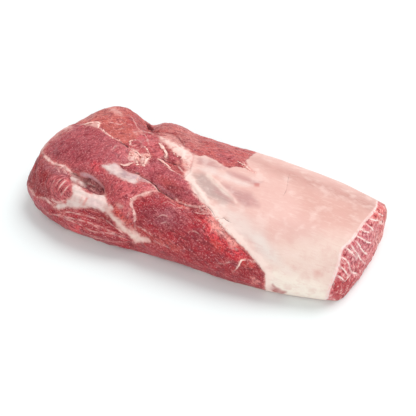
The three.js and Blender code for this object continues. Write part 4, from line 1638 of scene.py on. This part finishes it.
@dataclass(frozen=True)
class TornFat:
    """Beef fat and fascia torn by hand: soft and waxy, pink where blood has stained it.

    Attributes:
        name: The material's name.
        stain_mm: Width of the blood stains.
        relief_mm: Height of its unevenness.
        roughness: Roughness of cool fat.
        ior: Index of refraction of fat.
    """

    name: str = "beef_fat_torn"
    stain_mm: float = 5.0
    relief_mm: float = 0.4
    roughness: float = 0.42
    ior: float = 1.42
    fat: str = "#ffd6ca"
    stain: str = "#e99a90"
    flesh: str = "#d97473"

    def build(self) -> bpy.types.Material:
        """Makes the material.

        Returns:
            The material, which reads how pale each point of the shreds is.
        """
        material, tree = new_material(self.name)
        place = add_node(tree, "TexCoord").outputs["Object"]
        stains = {"Vector": place, "Scale": 1 / (self.stain_mm * MM), "Detail": 4.0}
        cloud = add_node(tree, "TexNoise", stains).outputs[0]
        pale = add_node(tree, "Attribute", attribute_name="pale").outputs["Fac"]
        colour = draw_layers(tree, linear(self.fat), (
            Layer(cloud, 0.46, 0.68, 0.8, 1.0, self.stain),
            Layer(pale, 0.85, 0.35, 1.0, 1.0, self.flesh),
        ))
        uneven = {"Height": cloud, "Strength": 0.5, "Distance": self.relief_mm * MM}
        shader = add_node(tree, "BsdfPrincipled", {
            "Base Color": colour,
            "Roughness": self.roughness,
            "Normal": add_node(tree, "Bump", uneven).outputs[0],
            "IOR": self.ior,
        })
        add_node(tree, "OutputMaterial", {"Surface": shader.outputs[0]})
        return material


@dataclass(frozen=True)
class MattPaper:
    """Uncoated white paper: an even ground without highlights.

    Attributes:
        name: The material's name.
        white: Its colour.
    """

    name: str = "matt_white_paper"
    white: str = "#f2f8f8"

    def build(self) -> bpy.types.Material:
        """Makes the material.

        Returns:
            The material.
        """
        material, tree = new_material(self.name)
        shader = add_node(tree, "BsdfDiffuse", {"Color": linear(self.white)})
        add_node(tree, "OutputMaterial", {"Surface": shader.outputs[0]})
        return material


# ------------------------------ the meat
@dataclass
class TornShreds:
    """The torn strips and the frayed bits, joined into one piece.

    Attributes:
        name: The piece's name.
        sides: Points round each strip.
        flatness: Thickness of a strip as a share of its width.
        sink: Share of its half width by which it is sunk into the skin.
        ball: Points of the ball that a crumb is made from.
        ball_faces: That ball's faces.
    """

    name: str = "torn_fat_shreds"
    sides: int = 8
    flatness: float = 0.5
    sink: float = 0.2
    ball: Points = field(init=False)
    ball_faces: list = field(init=False)

    def strip(self, skin: SkinMap, shred: Shred, seed: int) -> tuple[Points, list, Weights]:
        """Sweeps an uneven flat section along one strip's line.

        Args:
            skin: The shaped skin.
            shred: The strip.
            seed: Seed of its unevenness.

        Returns:
            Its points in millimetres, its faces, and how pale each point is.
        """
        line = skin.land(shred.path)
        share = np.linspace(0, 1, len(line))
        belly = np.sqrt(np.clip(4 * share * (1 - share), 0.02, 1))
        uneven = 1 + 0.5 * lumps(line, 2.2, seed, 2)
        half = 0.5 * shred.width * belly * uneven
        middle = skin.lift(line, shred.rise * belly * uneven - self.sink * half)
        run = np.gradient(middle, axis=0)
        run /= np.linalg.norm(run, axis=1)[:, None]
        out = np.array([skin.tree.find_nearest(Vector(point))[1] for point in middle])
        side = np.cross(run, out)
        side /= np.linalg.norm(side, axis=1)[:, None]
        out = np.cross(side, run)
        turns = 2 * math.pi * np.arange(self.sides) / self.sides
        spokes = [side * math.cos(turn) + out * math.sin(turn) * self.flatness for turn in turns]
        points = np.stack([middle + half[:, None] * spoke for spoke in spokes], axis=1).reshape(-1, 3)
        points += 0.12 * shred.width * np.stack([lumps(points, 1.4, seed + n) for n in (1, 2, 3)], axis=1)
        last, sides = len(line) - 1, self.sides
        faces = [
            (low + k, low + (k + 1) % sides, low + sides + (k + 1) % sides, low + sides + k)
            for low in range(0, last * sides, sides)
            for k in range(sides)
        ]
        faces.append(tuple(range(sides))[::-1])
        faces.append(tuple(last * sides + k for k in range(sides)))
        return points, faces, np.tile(0.5 + 0.5 * np.sin(turns), len(line))

    def crumb(self, skin: SkinMap, place: Points, size: float, chance: np.random.Generator) -> tuple:
        """Makes one frayed bit: a flattened, dented ball, sunk into the skin.

        Args:
            skin: The shaped skin.
            place: Where it lies, in millimetres.
            size: Its length in millimetres.
            chance: The seeded random numbers.

        Returns:
            Its points in millimetres, its faces, and how pale each point is.
        """
        spot, normal = skin.tree.find_nearest(Vector(place))[:2]
        turn = Matrix.Rotation(chance.uniform(0, 2 * math.pi), 3, normal)
        tilt = Matrix.Rotation(chance.uniform(-0.4, 0.4), 3, turn @ normal.orthogonal().normalized())
        length, width = normal.orthogonal().normalized(), normal.cross(normal.orthogonal()).normalized()
        axes = np.array([turn @ length, turn @ width, tilt @ normal])
        shape = self.ball * (size * 0.5, size * chance.uniform(0.28, 0.46), size * chance.uniform(0.12, 0.2))
        dents = [lumps(self.ball + chance.uniform(0, 9), 0.9, seed) for seed in (71, 72, 73)]
        shape += size * 0.16 * np.stack(dents, axis=1)
        points = np.array(spot) + shape @ axes
        return points, self.ball_faces, 0.5 + 0.5 * self.ball[:, 2]

    def bits(self, skin: SkinMap) -> list[tuple]:
        """Strews all crumbs along their lines.

        Args:
            skin: The shaped skin.

        Returns:
            For each crumb its points, faces and paleness.
        """
        chance = np.random.default_rng(70)
        made = []
        for crumbs in CRUMBS:
            line = skin.land(crumbs.path)
            for _ in range(crumbs.count):
                place = line[chance.integers(len(line))] + chance.normal(0, 0.5 * crumbs.spread, 3)
                size = crumbs.size * chance.uniform(0.4, 1.0)
                made.append(self.crumb(skin, place, size, chance))
        return made

    def build(self, skin: SkinMap) -> bpy.types.Object:
        """Makes all strips and crumbs.

        Args:
            skin: The shaped skin.

        Returns:
            The piece.
        """
        bm = bmesh.new()
        bmesh.ops.create_icosphere(bm, subdivisions=2, radius=1.0)
        self.ball = np.array([v.co for v in bm.verts])
        self.ball_faces = [tuple(v.index for v in face.verts) for face in bm.faces]
        bm.free()
        parts = [self.strip(skin, shred, 60 + 5 * number) for number, shred in enumerate(SHREDS)]
        parts += self.bits(skin)
        points, faces, pale = [], [], []
        start = 0
        for own_points, own_faces, own_pale in parts:
            points.append(own_points)
            pale.append(own_pale)
            faces += [tuple(start + v for v in face) for face in own_faces]
            start += len(own_points)
        mesh = bpy.data.meshes.new(self.name)
        mesh.from_pydata((np.concatenate(points) * MM).tolist(), [], faces)
        paleness = mesh.attributes.new("pale", "FLOAT", "POINT")
        paleness.data.foreach_set("value", np.concatenate(pale).astype(np.float32))
        bm = bmesh.new()
        bm.from_mesh(mesh)
        bmesh.ops.recalc_face_normals(bm, faces=bm.faces)
        bm.to_mesh(mesh)
        bm.free()
        mesh.shade_smooth()
        mesh.materials.append(TornFat().build())
        shreds = stand(self.name, mesh)
        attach(shreds, "root")
        return shreds


@dataclass(frozen=True)
class OysterBlade:
    """The piece of meat: the solid's own form, refined, with relief, tissues and finishes.

    Attributes:
        name: The piece's name.
        levels: How often each quad of the solid is split into four.
        crease_deg: Edges sharper than this stay crisp, as round the sawn face.
        crease: How crisp they stay, from 0 to 1.
        weld: Points of the solid closer than this are one, in metres.
        saw_facing: Part of its normal that points along the length, over which the skin is sawn.
        saw_from: How far along the length the sawn face starts, in millimetres.
        rim_from: How far along the length the rim starts to be drawn in, and where it is all drawn in.
        rim_pull: How much further than it stands out in the picture.
        rim_draw: How far the sawn rim may be drawn in, in millimetres.
        rounding: Rounds of smoothing of the sawn end.
    """

    name: str = "oyster_blade_meat"
    levels: int = 2
    crease_deg: float = 38.0
    crease: float = 0.6
    weld: float = 1e-5
    saw_facing: float = 0.72
    saw_from: tuple[float, float] = (110.0, 100.0)
    rim_from: tuple[float, float] = (90.0, 150.0)
    rim_pull: float = 1.3
    rim_draw: float = 8.0
    rounding: int = 70

    def open_quads(self, node: bpy.types.Object) -> bpy.types.Mesh:
        """Turns the solid's facets into quads, without the flat underside.

        Args:
            node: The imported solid.

        Returns:
            A coarse mesh, with creases round the sawn face.
        """
        bm = bmesh.new()
        bm.from_mesh(node.data)
        bmesh.ops.remove_doubles(bm, verts=bm.verts, dist=self.weld)
        low = [f for f in bm.faces if all(v.co.z < self.weld for v in f.verts)]
        bmesh.ops.delete(bm, geom=low, context="FACES")
        any_angle = {"angle_face_threshold": math.pi, "angle_shape_threshold": math.pi}
        bmesh.ops.join_triangles(bm, faces=bm.faces, **any_angle)
        creases = bm.edges.layers.float.new("crease_edge")
        for edge in bm.edges:
            if len(edge.link_faces) == 2 and edge.calc_face_angle() > math.radians(self.crease_deg):
                edge[creases] = self.crease
        for key in list(bm.loops.layers.float_vector.keys()):
            bm.loops.layers.float_vector.remove(bm.loops.layers.float_vector[key])
        coarse = bpy.data.meshes.new("coarse")
        bm.to_mesh(coarse)
        bm.free()
        return coarse

    def close_underside(self, mesh: bpy.types.Mesh) -> None:
        """Closes the open underside with one flat face, which has the second material.

        Args:
            mesh: The refined mesh.
        """
        bm = bmesh.new()
        bm.from_mesh(mesh)
        rim = [edge for edge in bm.edges if edge.is_boundary]
        for face in bm.faces:
            face.material_index, face.smooth = 0, True
        for edge in rim:
            edge.smooth = False
        for face in bmesh.ops.contextual_create(bm, geom=rim)["faces"]:
            face.material_index, face.smooth = 1, False
        bmesh.ops.recalc_face_normals(bm, faces=bm.faces)
        bm.to_mesh(mesh)
        bm.free()

    def refine(self, node: bpy.types.Object) -> bpy.types.Mesh:
        """Makes the fine skin from the solid's facets.

        Args:
            node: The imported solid.

        Returns:
            A mesh of small quads with a flat underside.
        """
        coarse = self.open_quads(node)
        carrier = stand("coarse", coarse)
        split = carrier.modifiers.new("split", "SUBSURF")
        split.levels = split.render_levels = self.levels
        evaluated = carrier.evaluated_get(bpy.context.evaluated_depsgraph_get())
        fine = bpy.data.meshes.new_from_object(evaluated)
        bpy.data.objects.remove(carrier)
        bpy.data.meshes.remove(coarse)
        self.close_underside(fine)
        fine.name = self.name
        return fine

    def trim_end(self, mesh: bpy.types.Mesh, skin: SkinMap, sawn: Weights) -> None:
        """Draws the sawn end in to its rim and rounds off the edges of the solid's facets.

        Args:
            mesh: The refined mesh.
            skin: What is known about its points.
            sawn: 1 on the sawn face, 0 elsewhere.
        """
        past = np.clip(-self.rim_pull * skin.inside(SAWN_RIM), 0, self.rim_draw)
        points = skin.points - np.outer(past * ease(*self.rim_from, skin.points[:, 0]), (1.0, 0, 0))
        ends = np.zeros(2 * len(mesh.edges), np.int32)
        mesh.edges.foreach_get("vertices", ends)
        one, other = ends.reshape(-1, 2).T
        count = len(points)
        neighbours = np.bincount(ends, minlength=count)[:, None]
        free = sawn * ease(0.5, 4, points[:, 2])
        for _ in range(self.rounding):
            around = np.stack([
                np.bincount(one, points[other, axis], count) + np.bincount(other, points[one, axis], count)
                for axis in range(3)
            ], axis=1)
            points += free[:, None] * 0.5 * (around / neighbours - points)
        mesh.vertices.foreach_set("co", (points * MM).ravel())
        mesh.update()

    def sawn_share(self, skin: SkinMap) -> Weights:
        """Finds the sawn face, by its facing and by its outline in the picture.

        Args:
            skin: The skin.

        Returns:
            1 for the points of the sawn face and 0 for the others.
        """
        length = skin.points[:, 0]
        cut = (length > self.saw_from[0]) & (skin.normals[:, 0] > self.saw_facing)
        past = (length > self.saw_from[1]) & (skin.seen > 0.5) & (skin.inside(SAWN_FACE) > 0)
        return (cut | past).astype(float)

    def write(self, mesh: bpy.types.Mesh, name: str, values: Points, kind: str = "FLOAT_VECTOR") -> None:
        """Stores one row of numbers for each point of the mesh.

        Args:
            mesh: The mesh.
            name: Name under which the finishes read them.
            values: The numbers, one row for each point.
            kind: Blender's name for what they are.
        """
        attribute = mesh.attributes.new(name, kind, "POINT")
        field_name = "color" if kind == "FLOAT_COLOR" else "vector"
        attribute.data.foreach_set(field_name, values.astype(np.float32).ravel())

    def store(self, mesh: bpy.types.Mesh, skin: SkinMap, tissues: TissueMap, grain: Points) -> None:
        """Stores what the skin is made of in the mesh, for the finishes.

        Args:
            mesh: The mesh.
            skin: The skin.
            tissues: What it is made of.
            grain: Places in millimetres along and across the fibres.
        """
        opaque = np.ones(len(skin.points))
        self.write(mesh, "tissue", np.column_stack([tissues.colour, opaque]), "FLOAT_COLOR")
        self.write(mesh, "cover", np.stack([tissues.membrane, tissues.fat, tissues.streak], axis=1))
        self.write(mesh, "grain", grain)
        self.write(mesh, "pale_line", tissues.lines(skin, SEAMS, "strength"))
        self.write(mesh, "dark_line", tissues.lines(skin, CUTS, "shade"))

    def build(self, node: bpy.types.Object, camera: PhotoCamera) -> bpy.types.Object:
        """Makes, shapes, paints and dresses the meat.

        Args:
            node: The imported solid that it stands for.
            camera: The reference camera.

        Returns:
            The piece.
        """
        mesh = self.refine(node)
        skin = SkinMap(mesh, camera)
        sawn = self.sawn_share(skin)
        self.trim_end(mesh, skin, sawn)
        skin = SkinMap(mesh, camera)
        log.info("skin refined: %d points, %d faces", len(mesh.vertices), len(mesh.polygons))
        tissues = TissueMap()
        silver, grain = tissues.silverskin(skin), tissues.grain(skin)
        raised = Relief().of(skin, grain, np.where(sawn > 0, -FAR, silver))
        tissues.paint(skin, grain, silver, sawn)
        self.store(mesh, skin, tissues, grain)
        log.info("tissues painted")
        shaped = (skin.points + skin.normals * raised[:, None]) * MM
        mesh.vertices.foreach_set("co", shaped.ravel())
        mesh.update()
        for finish in (RawBeef(), RestingFlesh(), SawnBeef()):
            mesh.materials.append(finish.build())
        for face in mesh.polygons:
            if face.material_index == 0 and all(sawn[v] for v in face.vertices):
                face.material_index = 2
        meat = stand(self.name, mesh)
        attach(meat, "root")
        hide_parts(node.name)
        return meat


# ------------------------------ studio
@dataclass(frozen=True)
class Softbox:
    """A far lamp as wide as a softbox, which lights the whole floor evenly.

    Attributes:
        name: The lamp's name.
        towards: Direction from the part to the lamp.
        spread: The angle that it fills, in degrees.
        strength: Its light in watts on a square metre.
    """

    name: str
    towards: tuple[float, float, float]
    spread: float
    strength: float

    def build(self) -> bpy.types.Object:
        """Hangs the lamp.

        Returns:
            The lamp.
        """
        data = bpy.data.lights.new(self.name, "SUN")
        data.angle, data.energy = math.radians(self.spread), self.strength
        lamp = stand(self.name, data)
        lamp.rotation_euler = Vector(self.towards).to_track_quat("Z", "Y").to_euler()
        return lamp


@dataclass(frozen=True)
class Studio:
    """A plain white floor in soft light from above and behind, with the shadow to the front and left.

    Attributes:
        floor_size: Side of the floor in metres.
        floor_drop: How far it lies below the meat, in metres, so that the two don't flicker.
        lamps: The lamps.
        sky: Strength of the even light from all round.
    """

    floor_size: float = 120.0
    floor_drop: float = 0.0003
    lamps: tuple[Softbox, ...] = (
        Softbox("key", (0.35, 0.75, 1.1), 42, 2.0),
        Softbox("fill", (0.3, -1.0, 1.0), 80, 0.75),
    )
    sky: float = 0.5

    def build(self) -> None:
        """Makes the floor, the lamps and the sky."""
        half = self.floor_size / 2
        sides = ((-half, -half), (half, -half), (half, half), (-half, half))
        mesh = bpy.data.meshes.new("floor")
        mesh.from_pydata([(x, y, -self.floor_drop) for x, y in sides], [], [(0, 1, 2, 3)])
        mesh.materials.append(MattPaper().build())
        stand("floor", mesh)
        for lamp in self.lamps:
            lamp.build()
        world = bpy.data.worlds.new("sky")
        world.use_nodes = True
        background = world.node_tree.nodes["Background"]
        background.inputs[0].default_value = linear("#ffffff")
        background.inputs[1].default_value = self.sky
        bpy.context.scene.world = world
        bpy.context.scene.view_settings.view_transform = "Standard"


def main() -> None:
    """Builds the camera, the meat and the studio, and notes the sizes."""
    camera = PhotoCamera()
    camera.build()
    meat = OysterBlade().build(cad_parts["oyster_blade"], camera)
    log.info("%s: %d faces", meat.name, len(meat.data.polygons))
    shreds = TornShreds().build(SkinMap(meat.data, camera))
    log.info("%s: %d faces", shreds.name, len(shreds.data.polygons))
    Studio().build()
    log.info("studio lit")


if __name__ == "__main__":
    logging.basicConfig(level=logging.INFO, format="%(name)s: %(message)s")
    main()
